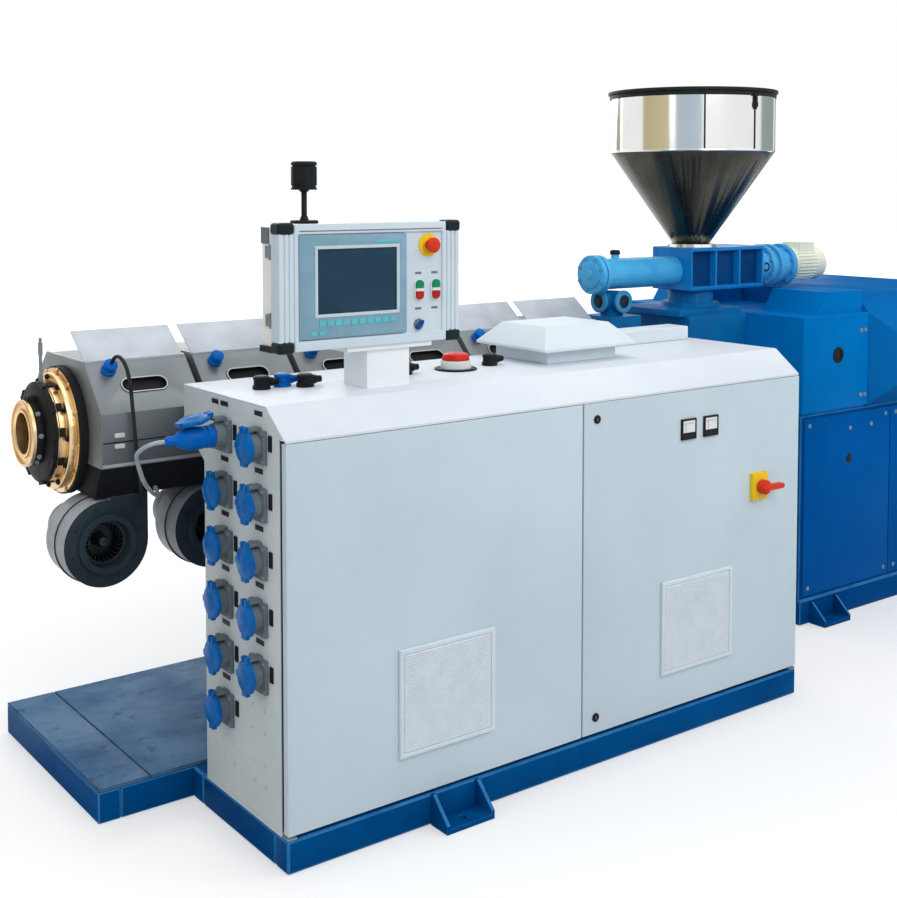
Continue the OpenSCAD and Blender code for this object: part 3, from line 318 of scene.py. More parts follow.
def settle(piece):
    """The piece's modifiers become plain mesh."""
    evaluated = piece.evaluated_get(bpy.context.evaluated_depsgraph_get())
    plain = bpy.data.meshes.new_from_object(evaluated)
    piece.modifiers.clear()
    piece.data = plain


def placed(shape, name, finishes, rounding, node, body, steps, edge):
    """A shape becomes a piece: its edges are rounded, and it rides a body."""
    mesh = bpy.data.meshes.new(name)
    shape.to_mesh(mesh)
    shape.free()
    for material in finishes:
        mesh.materials.append(material)
    mesh.shade_smooth()
    piece = linked(name, mesh)
    bevel = piece.modifiers.new("rounded_edges", "BEVEL")
    bevel.width = rounding
    bevel.segments = steps
    bevel.limit_method = "ANGLE"
    bevel.angle_limit = math.radians(35)
    bevel.harden_normals = True
    bevel.material = edge
    settle(piece)
    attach(piece, body)
    if node:
        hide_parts(node)
    return piece


def softened(node, finishes, rounding, steps=2, edge=-1):
    """A CAD node's own shape with the small radius that its edges really have."""
    source = frame["nodes"][node]
    shape = bmesh.new()
    shape.from_mesh(source.data)
    for face in shape.faces:
        face.material_index = 0
    bmesh.ops.remove_doubles(shape, verts=shape.verts, dist=0.00002)
    bmesh.ops.dissolve_limit(shape, angle_limit=math.radians(0.6), verts=shape.verts, edges=shape.edges)
    return placed(shape, node + "_finished", finishes, rounding, node, source["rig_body"], steps,
                  edge)


def marked(piece, chosen):
    """The chosen faces of a piece take its second finish."""
    for polygon in piece.data.polygons:
        if chosen(polygon.center, polygon.normal):
            polygon.material_index = 1


def painted(name, colour, patch, amount=0.7, gloss=0.3, scale=3.0, coat=0.0, shine=0.07):
    """Sprayed machine paint with the faint orange peel of a spray gun."""
    values = {"Colour": tone(*colour), "Patch": tone(*patch), "Patch Scale": scale, "Patch Amount": amount,
              "Grain Scale": 260.0, "Gloss": gloss}
    return finish(name, coat_mottle, values, 0.00025, coat=coat, specular=shine)


base_paint = painted("base_blue_paint", (0, 79, 140), (0, 61, 114), gloss=0.34, shine=0.01)
# The rounded edges of the base, the plinth, the feet and the gear frame take a lighter blue: painted
# highlight.
base_highlight_paint = painted("base_painted_highlight", (56, 122, 178), (30, 98, 154), 0.8, gloss=0.35, scale=9.0, shine=0.01)
softened("base_frame", [base_paint, base_highlight_paint], 0.006, edge=1)
softened("cabinet_plinth", [base_paint, base_highlight_paint], 0.006, edge=1)
feet = softened("foot_brackets", [base_paint, base_highlight_paint], 0.002, edge=1)
# The feet's upward sloping faces take the same lighter blue: painted highlight.
marked(feet, lambda centre, normal: 0.2 < normal.z < 0.9)


def deck_finish():
    """Deck paint that boots have scuffed: dark smudges and small oil specks."""
    material = painted("deck_paint", (84, 124, 160), (58, 98, 138), 0.9, gloss=0.45, scale=5.0)
    tree = material.node_tree
    shader = tree.nodes["Principled BSDF"]
    colour = shader.inputs["Base Color"].links[0].from_socket
    place = added(tree, "ShaderNodeTexCoord").outputs["Object"]
    stretch = added(tree, "ShaderNodeMapping", {"Scale": (1.0, 2.2, 1.0), "Vector": place}).outputs[0]
    smudges = patchy(tree, {"Scale": 3.4, "Detail": 8, "Roughness": 0.7, "Vector": stretch}, 0.5, 0.72, 0.55)
    specks = patchy(tree, {"Scale": 26.0, "Detail": 6, "Vector": place}, 0.6, 0.7, 0.5)
    colour = blended(tree, smudges, colour, tone(40, 62, 88))
    wired(tree, shader, {"Base Color": blended(tree, specks, colour, tone(44, 66, 92))})
    return material


# The deck plates' rounded edges take a darker blue: painted shade.
deck_shade_edge = painted("deck_painted_shade_edge", (70, 100, 132), (40, 66, 96), 0.9, gloss=0.4, scale=14.0, shine=0.01)
softened("deck_plates", [deck_finish(), deck_shade_edge], 0.0025, edge=1)


# CABINET: a floor tray, folded steel walls and a folded roof with a sloped fascia, screwed together
# and powder coated, the roof in white and the walls in grey.
def copied(tree, given, made, points, solid, rotation):
    """The end of a tree: a solid at each point, as plain mesh with the finish that was given."""
    spread = added(tree, "GeometryNodeInstanceOnPoints",
                   {"Points": points, "Instance": solid, "Rotation": rotation})
    real = added(tree, "GeometryNodeRealizeInstances", {0: spread.outputs[0]})
    coat = added(tree, "GeometryNodeSetMaterial", {"Geometry": real.outputs[0], "Material": given["Finish"]})
    wired(tree, made, {0: coat.outputs[0]})


def fastener_tree():
    """Screw heads on washers at points that carry an aim vector."""
    tree, given, made = new_group(
        "fasteners", "GeometryNodeTree",
        {"Geometry": "Geometry", "Head Radius": "Float", "Head Height": "Float", "Sides": "Int",
         "Recess": "Float", "Washer Radius": "Float", "Washer Height": "Float", "Finish": "Material"},
        {"Geometry": "Geometry"})
    head = added(tree, "GeometryNodeMeshCylinder", {
        "Vertices": given["Sides"], "Radius": given["Head Radius"], "Depth": given["Head Height"]}).outputs
    inset = added(tree, "GeometryNodeExtrudeMesh", {
        "Offset Scale": 0.0, "Mesh": head["Mesh"], "Selection": head["Top"]}).outputs
    narrow = added(tree, "GeometryNodeScaleElements", {
        "Scale": 0.55, "Geometry": inset["Mesh"], "Selection": inset["Top"]}).outputs
    depth = added(tree, "ShaderNodeMath", {0: given["Recess"], 1: -1.0}, operation="MULTIPLY").outputs
    sink = added(tree, "GeometryNodeExtrudeMesh", {
        "Mesh": narrow["Geometry"], "Selection": inset["Top"], "Offset Scale": depth[0]}).outputs
    washer = added(tree, "GeometryNodeMeshCylinder", {
        "Vertices": 20, "Radius": given["Washer Radius"], "Depth": given["Washer Height"]}).outputs
    joined = added(tree, "GeometryNodeJoinGeometry")
    for solid, height in ((sink, "Head Height"), (washer, "Washer Height")):
        half = added(tree, "ShaderNodeMath", {0: given[height], 1: 0.5}, operation="MULTIPLY").outputs
        lift = added(tree, "ShaderNodeCombineXYZ", {"Z": half[0]}).outputs
        move = added(tree, "GeometryNodeTransform",
                     {"Geometry": solid["Mesh"], "Translation": lift[0]}).outputs
        wired(tree, joined, {0: move["Geometry"]})
    aim = added(tree, "GeometryNodeInputNamedAttribute", {"Name": "aim"}, data_type="FLOAT_VECTOR").outputs
    turn = added(tree, "FunctionNodeAlignRotationToVector", {"Vector": aim["Attribute"]}, axis="Z").outputs
    copied(tree, given, made, given["Geometry"], joined.outputs[0], turn["Rotation"])
    return tree


def grown(name, mesh, tree, values):
    """A piece whose plain mesh a node tree makes."""
    piece = linked(name, mesh)
    modifier = piece.modifiers.new(tree.name, "NODES")
    modifier.node_group = tree
    for item in tree.interface.items_tree:
        if item.in_out == "INPUT" and item.name in values:
            modifier[item.identifier] = values[item.name]
    settle(piece)
    return piece


fasteners = fastener_tree()


def screwed(name, places, material, radius, height, recess, sides, washer=1.35,
            washer_share=0.3):
    """Screws at (place, aim) pairs, as one plain mesh."""
    mesh = bpy.data.meshes.new(name)
    mesh.from_pydata([place for place, aim in places], [], [])
    aims = mesh.attributes.new("aim", "FLOAT_VECTOR", "POINT")
    for index, (place, aim) in enumerate(places):
        aims.data[index].vector = aim
    piece = grown(name, mesh, fasteners, {
        "Head Radius": radius, "Head Height": height, "Sides": sides, "Recess": recess,
        "Washer Radius": radius * washer, "Washer Height": height * washer_share, "Finish": material})
    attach(piece, "machine")


wall_paint = painted("wall_grey_paint", (206, 214, 213), (190, 200, 200), 0.6, gloss=0.42, scale=2.4)
roof_paint = painted("roof_white_paint", (222, 228, 234), (210, 218, 226), 0.6, gloss=0.34, scale=2.0)
softened("cabinet_floor", [wall_paint], 0.001)
softened("cabinet_ends", [wall_paint], 0.002)
softened("cabinet_back", [wall_paint], 0.002)
softened("cabinet_roof", [roof_paint], 0.006, 3)

wall_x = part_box("cabinet_ends")[0].x
front_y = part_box("left_door")[0].y
wall_screws = [(0.103, 0.358), (0.103, 0.304), (0.316, 0.223), (0.316, 0.173), (0.156, 0.222), (0.101, 0.225),
               (0.154, 0.174), (0.101, 0.173), (0.164, 0.357), (0.164, 0.300), (0.266, 0.222), (0.263, 0.174)]
screwed("end_wall_screws", [((wall_x, front_y + y, z), (-1, 0, 0)) for y, z in wall_screws],
        wall_paint, radius=0.004, height=0.003, recess=0.0015, sides=14)


# DOORS: two folded steel pans on pivot pins under a seal strip. Each carries a filter with a fine
# louvred grille, and the right one has the quarter-turn locks, two panel meters and the main switch.
def block(shape, corner, opposite, finish_index=0):
    """A box between two corners, added to a mesh that is being built."""
    xs, ys, zs = (sorted(pair) for pair in zip(corner, opposite))
    made = [shape.verts.new((x, y, z)) for x in xs for y in ys for z in zs]
    for ring in [(0, 1, 3, 2), (4, 6, 7, 5), (0, 4, 5, 1), (2, 3, 7, 6), (0, 2, 6, 4), (1, 5, 7, 3)]:
        shape.faces.new([made[index] for index in ring]).material_index = finish_index


def border(shape, corner, opposite, width, finish_index=0):
    """Four bars round an upright opening, inside two corners."""
    (x0, y0, z0), (x1, y1, z1) = corner, opposite
    for low, high in [((x0, z0), (x1, z0 + width)), ((x0, z1 - width), (x1, z1)),
                      ((x0, z0 + width), (x0 + width, z1 - width)),
                      ((x1 - width, z0 + width), (x1, z1 - width))]:
        block(shape, (low[0], y0, low[1]), (high[0], y1, high[1]), finish_index)


def turned(shape, origin, axis, profile, finish_index=0, sides=40, closed=False):
    """A turned part: rings of (distance along the axis, radius), with a point where the radius is nothing."""
    along = Vector(axis).normalized()
    across = along.orthogonal().normalized()
    third = along.cross(across)
    angles = [2 * math.pi * k / sides for k in range(sides)]
    rings = []
    for distance, radius in profile:
        centre = Vector(origin) + along * distance
        ring = [centre + radius * (math.cos(a) * across + math.sin(a) * third) for a in angles]
        rings.append([shape.verts.new(place) for place in (ring if radius > 0 else [centre])])
    pairs = list(zip(rings, rings[1:]))
    if closed:
        pairs.append((rings[-1], rings[0]))
    for first, second in pairs:
        for k in range(sides):
            n = (k + 1) % sides
            if len(first) == 1:
                corners = [first[0], second[n], second[k]]
            elif len(second) == 1:
                corners = [first[k], first[n], second[0]]
            else:
                corners = [first[k], first[n], second[n], second[k]]
            shape.faces.new(corners).material_index = finish_index


def built(shape, name, finishes, rounding, node=None, body="machine", steps=2):
    """Blocks and turned parts become a piece, in place of a CAD node or beside the nodes."""
    bmesh.ops.recalc_face_normals(shape, faces=shape.faces)
    placed(shape, name, finishes, rounding, node, body, steps, -1)


door_paint = painted("door_blue_grey_paint", (200, 215, 224), (190, 206, 216), 0.6, gloss=0.4, scale=1.6)
dark_plastic = moulded("black_plastic", (30, 33, 36), (18, 20, 22), 0.38)
pin_steel = moulded("turned_pin_steel", (138, 144, 150), (100, 104, 108))
filter_white = moulded("filter_frame_plastic", (214, 225, 232), (206, 218, 226), 0.42)
slat_white = moulded("filter_slat_plastic", (226, 233, 239), (212, 221, 228), 0.5)
softened("left_door", [door_paint], 0.0035, 3)
softened("right_door", [door_paint], 0.0035, 3)
softened("door_pivots", [pin_steel], 0.0006)
seal_slip = 0.0015
seal_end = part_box("right_door")[1]
seal = bmesh.new()
block(seal, (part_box("left_door")[0].x, front_y + 0.002, seal_end.z + seal_slip),
      (seal_end.x, front_y + 0.0045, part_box("cabinet_roof")[0].z + 0.0005))
built(seal, "roof_seal", [roof_paint], 0.0004)


def slat_tree():
    """Tilted slats in a row, one above the other."""
    tree, given, made = new_group(
        "filter_slats", "GeometryNodeTree",
        {"Geometry": "Geometry", "Count": "Int", "Pitch": "Float", "Slat Size": "Vector", "Tilt": "Float",
         "Finish": "Material"}, {"Geometry": "Geometry"})
    step = added(tree, "ShaderNodeCombineXYZ", {"Z": given["Pitch"]})
    row = added(tree, "GeometryNodeMeshLine", {"Count": given["Count"], "Offset": step.outputs[0]})
    slat = added(tree, "GeometryNodeMeshCube", {"Size": given["Slat Size"]})
    lean = added(tree, "ShaderNodeCombineXYZ", {"X": given["Tilt"]})
    copied(tree, given, made, row.outputs["Mesh"], slat.outputs["Mesh"], lean.outputs[0])
    return tree


filter_slats = slat_tree()
slat_count = 44
filter_border = 0.014
for door in ("left", "right"):
    low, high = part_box(door + "_filter")
    softened(door + "_filter", [filter_white], 0.003, 3)
    pitch = (high.z - low.z - 2 * filter_border) / slat_count
    grille = grown(door + "_grille", bpy.data.meshes.new(door + "_grille"), filter_slats, {
        "Count": slat_count, "Pitch": pitch, "Tilt": math.radians(38), "Finish": slat_white,
        "Slat Size": (high.x - low.x - 2 * filter_border, 0.006, 0.0014)})
    first_slat = Vector(((low.x + high.x) / 2, low.y + 0.0035, low.z + filter_border + pitch / 2))
    grille.data.transform(Matrix.Translation(first_slat))
    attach(grille, door + "_door")

lock_low, lock_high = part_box("door_locks")
lock_x = (lock_low.x + lock_high.x) / 2
lock_radius = (lock_high.x - lock_low.x) / 2
locks = bmesh.new()
for lock_z in (lock_low.z + lock_radius, lock_high.z - lock_radius):
    turned(locks, (lock_x, lock_high.y, lock_z), (0, -1, 0),
           [(0, 0), (0, lock_radius), (0.003, lock_radius), (0.003, 0.0085), (0.005, 0.0075), (0.005, 0.0045),
            (0.0015, 0.0045), (0.0015, 0)])
    block(locks, (lock_x - 0.0012, lock_high.y - 0.0045, lock_z - 0.0045),
          (lock_x + 0.0012, lock_high.y - 0.0012, lock_z + 0.0045), 1)
built(locks, "quarter_turn_locks", [dark_plastic, pin_steel], 0.0006, "door_locks",
      "right_door")

dial_white = moulded("meter_dial_card", (232, 234, 230), (218, 221, 218), 0.5)
meter_low, meter_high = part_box("door_meters")
meter_w = meter_high.z - meter_low.z
meter_y = meter_low.y
meter_rim = 0.005
meter_foot = meter_low.z + 0.02
meters = bmesh.new()
for x0 in (meter_low.x, meter_high.x - meter_w):
    x1 = x0 + meter_w
    block(meters, (x0, meter_y + 0.002, meter_low.z), (x1, meter_high.y, meter_high.z))
    border(meters, (x0, meter_y, meter_low.z), (x1, meter_y + 0.0021, meter_high.z), meter_rim)
    block(meters, (x0 + meter_rim, meter_y + 0.0012, meter_foot),
          (x1 - meter_rim, meter_y + 0.0021, meter_high.z - meter_rim), 1)
    block(meters, (x0 + meter_rim, meter_y + 0.0006, meter_low.z + meter_rim),
          (x1 - meter_rim, meter_y + 0.0021, meter_foot))
    for mark in range(9):
        mark_x = x0 + 0.011 + mark * 0.0047
        block(meters, (mark_x - 0.0004, meter_y + 0.0008, meter_high.z - 0.016),
              (mark_x + 0.0004, meter_y + 0.0013, meter_high.z - 0.011))
    needle_x = x0 + 0.016
    block(meters, (needle_x - 0.0005, meter_y + 0.0004, meter_low.z + 0.018),
          (needle_x + 0.0005, meter_y + 0.0009, meter_high.z - 0.013))
built(meters, "panel_meters", [dark_plastic, dial_white], 0.0003, "door_meters",
      "right_door")

switch_yellow = moulded("switch_yellow_plastic", (244, 206, 36), (228, 184, 24), 0.35)
switch_red = moulded("switch_red_plastic", (222, 62, 34), (190, 44, 26), 0.32)
softened("switch_plate", [switch_yellow], 0.002)
softened("switch_handle", [switch_red], 0.0025, 3)


# SOCKETS: eleven heater sockets in two columns, each a grey moulded flange held by four screws, with a
# blue sprung lid on a hinge. The top one stands open round the heater plug.
def poured(whole, part, place):
    """A part, moved to its place, joins a mesh that is being built."""
    part.transform(place)
    mesh = bpy.data.meshes.new("part")
    part.to_mesh(mesh)
    part.free()
    whole.from_mesh(mesh)
    bpy.data.meshes.remove(mesh)


socket_grey = moulded("socket_grey_plastic", (112, 124, 130), (92, 102, 108), 0.42)
socket_blue = moulded("socket_blue_plastic", (0, 102, 178), (0, 80, 148), 0.26)
bolt_steel = moulded("zinc_bolt", (150, 156, 160), (96, 100, 104))
plug_blue = moulded("plug_blue_plastic", (0, 100, 190), (0, 80, 160), 0.28)
softened("socket_bodies", [socket_grey], 0.0015)
socket_top = 0.990
socket_pitch = 0.137
socket_columns = [(-0.36175, 6), (-0.53675, 5)]
socket_places = [(y, socket_top - row * socket_pitch) for y, rows in socket_columns for row in range(rows)]
socket_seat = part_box("socket_bodies")[0].x
lid_radius = 0.041
lid_depth = 0.016
lid_hinge = Matrix.Translation((0, 0, lid_radius + 0.009))
lid_open = lid_hinge @ Matrix.Rotation(math.radians(78), 4, "Y") @ lid_hinge.inverted()
lids = bmesh.new()
for index, (y, z) in enumerate(socket_places):
    lid = bmesh.new()
    turned(lid, (0, 0, 0), (-1, 0, 0),
           [(0, 0), (0, lid_radius), (0.007, lid_radius), (0.0085, lid_radius - 0.003),
            (0.010, lid_radius - 0.004), (0.0125, 0.026), (0.0128, 0.024), (lid_depth, 0.018),
            (lid_depth, 0)], 0, 48)
    for side in (-1, 1):
        ear = side * 0.0085
        block(lid, (-0.012, ear - 0.0045, lid_radius - 0.005), (0, ear + 0.0045, lid_radius + 0.009))
        ear = side * (lid_radius - 0.002)
        block(lid, (-0.009, ear - 0.0045, -0.007), (0, ear + 0.0045, 0.007))
    block(lid, (-0.011, -0.012, -lid_radius - 0.004), (0, 0.012, -lid_radius + 0.006))
    seat = Matrix.Translation((socket_seat, y, z))
    poured(lids, lid, seat @ lid_open if index == 0 else seat)
built(lids, "socket_lids_finished", [socket_blue], 0.001, "socket_lids")

flange_screws = [((socket_seat + 0.024, y + a * 0.033, z + b * 0.033), (-1, 0, 0))
                 for y, z in socket_places for a in (-1, 1) for b in (-1, 1)]
screwed("socket_screws", flange_screws, bolt_steel, radius=0.0032, height=0.0025, recess=0.0012, sides=12)

plug_y, plug_z = socket_places[0]
plug_radius = 0.028
plug_ribs = 16
plug = bmesh.new()
turned(plug, (socket_seat, plug_y, plug_z), (-1, 0, 0),
       [(0, 0), (0, plug_radius), (0.018, plug_radius), (0.020, plug_radius - 0.003),
        (0.026, plug_radius - 0.003), (0.028, plug_radius), (0.066, plug_radius), (0.090, 0.019),
        (0.096, 0.0135), (0.098, 0.0125), (0.118, 0.0125), (0.1255, 0.008), (0.126, 0)])
for rib in range(plug_ribs):
    angle = 2 * math.pi * rib / plug_ribs
    rib_y = plug_y + math.cos(angle) * (plug_radius - 0.002)
    rib_z = plug_z + math.sin(angle) * (plug_radius - 0.002)
    block(plug, (socket_seat - 0.062, rib_y - 0.0016, rib_z - 0.0016),
          (socket_seat - 0.032, rib_y + 0.0016, rib_z + 0.0016))
built(plug, "heater_plug_finished", [plug_blue], 0.0008, "heater_plug")

tag_face = wall_x - 0.0015
tags = bmesh.new()
for y, z in socket_places:
    block(tags, (tag_face, y - 0.019, z + 0.071), (wall_x, y + 0.019, z + 0.083))
for y, z in socket_places:
    block(tags, (wall_x - 0.003, y - 0.064, z - 0.006), (wall_x, y - 0.048, z + 0.032))
block(tags, (tag_face, plug_y + 0.032, plug_z + 0.071), (wall_x, plug_y + 0.066, plug_z + 0.083))
built(tags, "socket_tags", [dark_plastic], 0.0005)


# ROOF FITTINGS: a folded fan hood on its neck, a cable duct, a red lamp on a round base and dark cable
# connectors, all screwed down on the roof sheet.
lamp_white = moulded("lamp_base_plastic", (214, 216, 214), (196, 200, 200), 0.4)
lamp_red = moulded("lamp_red_plastic", (206, 46, 34), (170, 30, 24), 0.22)
hood_paint = painted("hood_white_paint", (216, 226, 232), (204, 215, 222), 0.6, gloss=0.36, scale=4.0)
softened("roof_hood", [hood_paint], 0.003, 3)
softened("roof_duct", [hood_paint], 0.004, 3)
up = (0, 0, 1)
roof_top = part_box("cabinet_roof")[1].z
lamp_low, lamp_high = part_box("roof_lamp")
lamp_seat = ((lamp_low.x + lamp_high.x) / 2, (lamp_low.y + lamp_high.y) / 2, roof_top)
signal = bmesh.new()
turned(signal, lamp_seat, up, [(0, 0), (0, 0.060), (0.004, 0.060), (0.005, 0.058), (0.005, 0)], 0, 48)
turned(signal, lamp_seat, up, [(0.004, 0), (0.004, 0.044), (0.024, 0.042), (0.027, 0.040), (0.027, 0)], 1, 48)
turned(signal, lamp_seat, up,
       [(0.026, 0), (0.026, 0.039), (0.038, 0.038), (0.044, 0.034), (0.047, 0.026), (0.047, 0)], 2, 48)
built(signal, "roof_lamp_finished", [dark_plastic, lamp_white, lamp_red], 0.001, "roof_lamp")

glands = bmesh.new()
for x, y, shade in [(-1.495, -0.33175, 0), (-1.430, -0.32175, 1), (-1.385, -0.36175, 0),
                    (-1.055, -0.33175, 0), (-0.755, -0.33175, 0)]:
    turned(glands, (x, y, roof_top), up,
           [(0, 0), (0, 0.023), (0.010, 0.023), (0.011, 0.020), (0.024, 0.020), (0.026, 0.022),
            (0.031, 0.021), (0.034, 0.016), (0.034, 0)], shade, 24)
    turned(glands, (x, y, roof_top + 0.017), (1, 0, 0),
           [(0, 0), (0, 0.0115), (0.030, 0.0115), (0.032, 0.0095), (0.046, 0.0085), (0.046, 0)], shade, 20)
built(glands, "roof_glands_finished", [dark_plastic, plug_blue], 0.0008, "roof_glands")


# TERMINAL: an aluminium profile frame with dark corner caps round a cream sheet case, on a pedestal. The
# front panel carries the display with its keys, two double push-buttons, a key switch and the stop.
terminal_white = painted("terminal_profile_paint", (208, 221, 229), (196, 210, 218), 0.5, gloss=0.34,
                         scale=6.0)
terminal_cream = painted("terminal_cream_paint", (250, 249, 240), (240, 239, 228), 0.6, gloss=0.4, scale=5.0)
bezel_blue = moulded("bezel_blue_grey_foil", (132, 166, 184), (118, 152, 172), 0.36)
bezel_light = moulded("bezel_light_foil", (196, 212, 220), (182, 200, 210), 0.36)
key_cyan = moulded("softkey_cyan_foil", (98, 192, 200), (86, 174, 186), 0.34)
cap_teal = moulded("corner_cap_plastic", (26, 40, 46), (18, 30, 36))
pedestal_white = painted("pedestal_white_paint", (242, 246, 248), (232, 238, 241), 0.5, gloss=0.34, scale=5.0)
softened("terminal_pedestal", [pedestal_white], 0.004, 3)
softened("terminal_case", [terminal_cream], 0.004, 3)
softened("terminal_frame", [terminal_white], 0.003, 3)
cap_low, cap_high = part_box("corner_caps")
cap_w = 0.046
cap_h = 0.030
caps = bmesh.new()
for end_x, inner_x in ((cap_low.x, cap_low.x + cap_w), (cap_high.x, cap_high.x - cap_w)):
    for end_z, inner_z in ((cap_low.z, cap_low.z + cap_h), (cap_high.z, cap_high.z - cap_h)):
        block(caps, (end_x, cap_low.y, end_z), (inner_x, cap_high.y, inner_z))
built(caps, "corner_caps_finished", [cap_teal], 0.009, "corner_caps", steps=5)
softened("display_bezel", [bezel_blue], 0.002)


def screen_finish():
    """Dark display glass with faint clouds of a lighter blue."""
    material, tree, shader = new_material("screen_glass", {"Roughness": 0.3, "Specular IOR Level": 0.15})
    place = added(tree, "ShaderNodeTexCoord").outputs["Object"]
    cloud = added(tree, "ShaderNodeTexNoise", {"Scale": 7.0, "Vector": place}).outputs[0]
    wired(tree, shader, {"Base Color": blended(tree, cloud, tone(18, 48, 66), tone(30, 68, 88))})
    return material


softened("display_glass", [screen_finish()], 0.0004)

glass_low, glass_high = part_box("display_glass")
bezel_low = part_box("display_bezel")[0]
key_out = bezel_low.y - 0.002
key_in = bezel_low.y + 0.0005
key_w = 0.0172
key_pitch = 0.0232
glass_trim = 0.008
trim = bmesh.new()
border(trim, (glass_low.x - glass_trim, key_out, glass_low.z - glass_trim),
       (glass_high.x + glass_trim, key_in, glass_high.z + glass_trim), glass_trim)
for count, first_x, low_z, high_z in [(10, glass_low.x + 0.004, glass_low.z - 0.030, glass_low.z - 0.016),
                                      (2, glass_low.x - 0.020, bezel_low.z + 0.008, bezel_low.z + 0.018)]:
    for key in range(count):
        key_x = first_x + key * key_pitch
        block(trim, (key_x, key_out, low_z), (key_x + key_w, key_in, high_z), 1)
block(trim, (glass_high.x - 0.064, bezel_low.y - 0.0012, glass_high.z + 0.013),
      (glass_high.x - 0.004, key_in, glass_high.z + 0.019), 1)
built(trim, "display_keys", [bezel_light, key_cyan], 0.0008)


def pill(half_width, half_height, steps=8):
    """The outline of an upright pill-shaped button."""
    reach = half_height - half_width
    angles = [math.pi * k / steps for k in range(steps + 1)]
    top = [(half_width * math.cos(a), reach + half_width * math.sin(a)) for a in angles]
    return top + [(-x, -z) for x, z in top]


def face_plate(shape, outline, place, height, finish_index):
    """A flat shape on the terminal's front, standing out by its height."""
    x, y, z = place
    clean = [p for k, p in enumerate(outline) if math.dist(p, outline[k - 1]) > 1e-6]
    back = [shape.verts.new((x + a, y, z + b)) for a, b in clean]
    front = [shape.verts.new((x + a, y - height, z + b)) for a, b in clean]
    made = [shape.faces.new(front), shape.faces.new(back)]
    for k in range(len(clean)):
        made.append(shape.faces.new([back[k - 1], back[k], front[k], front[k - 1]]))
    for face in made:
        face.material_index = finish_index


toward = (0, -1, 0)
panel_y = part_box("push_buttons")[1].y
button_green = moulded("button_green_plastic", (24, 140, 92), (16, 116, 74))
button_red = moulded("button_red_plastic", (186, 40, 34), (156, 30, 26))
button_white = moulded("button_white_plastic", (234, 236, 234), (216, 220, 220), 0.34)
key_blue = moulded("key_switch_blue_plastic", (30, 70, 150), (20, 52, 118))
button_xs = (-1.131, -1.079)
button_z = 1.335
button_gap = 0.005
button_out = 0.0115
button_outline = pill(0.0115, 0.0255)
buttons = bmesh.new()
for x in button_xs:
    seat = (x, panel_y, button_z)
    face_plate(buttons, pill(0.014, 0.028), seat, 0.005, 3)
    face_plate(buttons, [(a, max(b, button_gap)) for a, b in button_outline], seat, button_out, 1)
    face_plate(buttons, [(a, min(b, -button_gap)) for a, b in button_outline], seat, button_out, 2)
    block(buttons, (x - 0.0115, panel_y - 0.0095, button_z - 0.004),
          (x + 0.0115, panel_y - 0.003, button_z + 0.004), 3)
key_place = (button_xs[0], panel_y, 1.245)
turned(buttons, key_place, toward,
       [(0, 0), (0, 0.0145), (0.004, 0.0145), (0.004, 0.011), (0.006, 0.011), (0.006, 0)], 5, 32)
knob = [(0.7071 * (a + b), 0.7071 * (b - a)) for a, b in pill(0.0055, 0.0145)]
face_plate(buttons, knob, key_place, 0.012, 4)
built(buttons, "push_buttons_finished",
      [dark_plastic, button_green, button_red, button_white, key_blue, socket_grey], 0.0012,
      "push_buttons")

stop_low, stop_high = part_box("emergency_stop")
stop_seat = ((stop_low.x + stop_high.x) / 2, stop_high.y, (stop_low.z + stop_high.z) / 2)
stop = bmesh.new()
turned(stop, stop_seat, toward, [(0, 0), (0, 0.030), (0.003, 0.030), (0.004, 0.028), (0.004, 0)], 0, 48)
turned(stop, stop_seat, toward, [(0.003, 0), (0.003, 0.012), (0.018, 0.012), (0.018, 0)], 1, 32)
turned(stop, stop_seat, toward,
       [(0.017, 0), (0.017, 0.018), (0.020, 0.020), (0.028, 0.020), (0.032, 0.016), (0.034, 0.009),
        (0.034, 0)], 1, 48)
built(stop, "emergency_stop_finished", [switch_yellow, switch_red], 0.0012, "emergency_stop")

rails = bmesh.new()
term_low, term_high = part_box("terminal_frame")
rail_z = term_high.z - 0.019
block(rails, (term_low.x + 0.056, term_low.y - 0.0006, rail_z),
      (term_high.x - 0.056, term_low.y + 0.001, rail_z + 0.003))
case_low, case_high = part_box("terminal_case")
for hinge_z in (case_low.z + 0.060, case_high.z - 0.075):
    block(rails, (case_low.x - 0.005, case_low.y + 0.010, hinge_z),
          (case_low.x + 0.001, case_low.y + 0.034, hinge_z + 0.030), 1)
    turned(rails, (case_low.x - 0.004, case_low.y + 0.008, hinge_z - 0.004), up,
           [(0, 0), (0, 0.004), (0.038, 0.004), (0.038, 0)], 1, 16)
block(rails, (case_low.x - 0.006, case_low.y - 0.002, case_low.z - 0.004),
      (case_low.x + 0.012, case_high.y + 0.004, case_low.z + 0.012), 2)
block(rails, (case_low.x - 0.003, case_low.y + 0.020, case_high.z - 0.040),
      (case_low.x + 0.001, case_high.y, case_high.z))
for x in button_xs:
    for z in (1.375, 1.283):
        block(rails, (x - 0.010, panel_y - 0.0008, z), (x + 0.010, panel_y + 0.0005, z + 0.006))
built(rails, "terminal_fittings", [socket_grey, pin_steel, dark_plastic], 0.0006)
back_screws = [((x, case_high.y, z), (0, 1, 0)) for x in (case_low.x + 0.015, -1.273, case_high.x - 0.015)
               for z in (case_low.z + 0.022, case_high.z - 0.012)]
screwed("terminal_back_screws", back_screws, bolt_steel, radius=0.004, height=0.003, recess=0.0015, sides=14)
beacon_low, beacon_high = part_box("signal_beacon")
beacon_seat = ((beacon_low.x + beacon_high.x) / 2, (beacon_low.y + beacon_high.y) / 2, beacon_low.z)
beacon = bmesh.new()
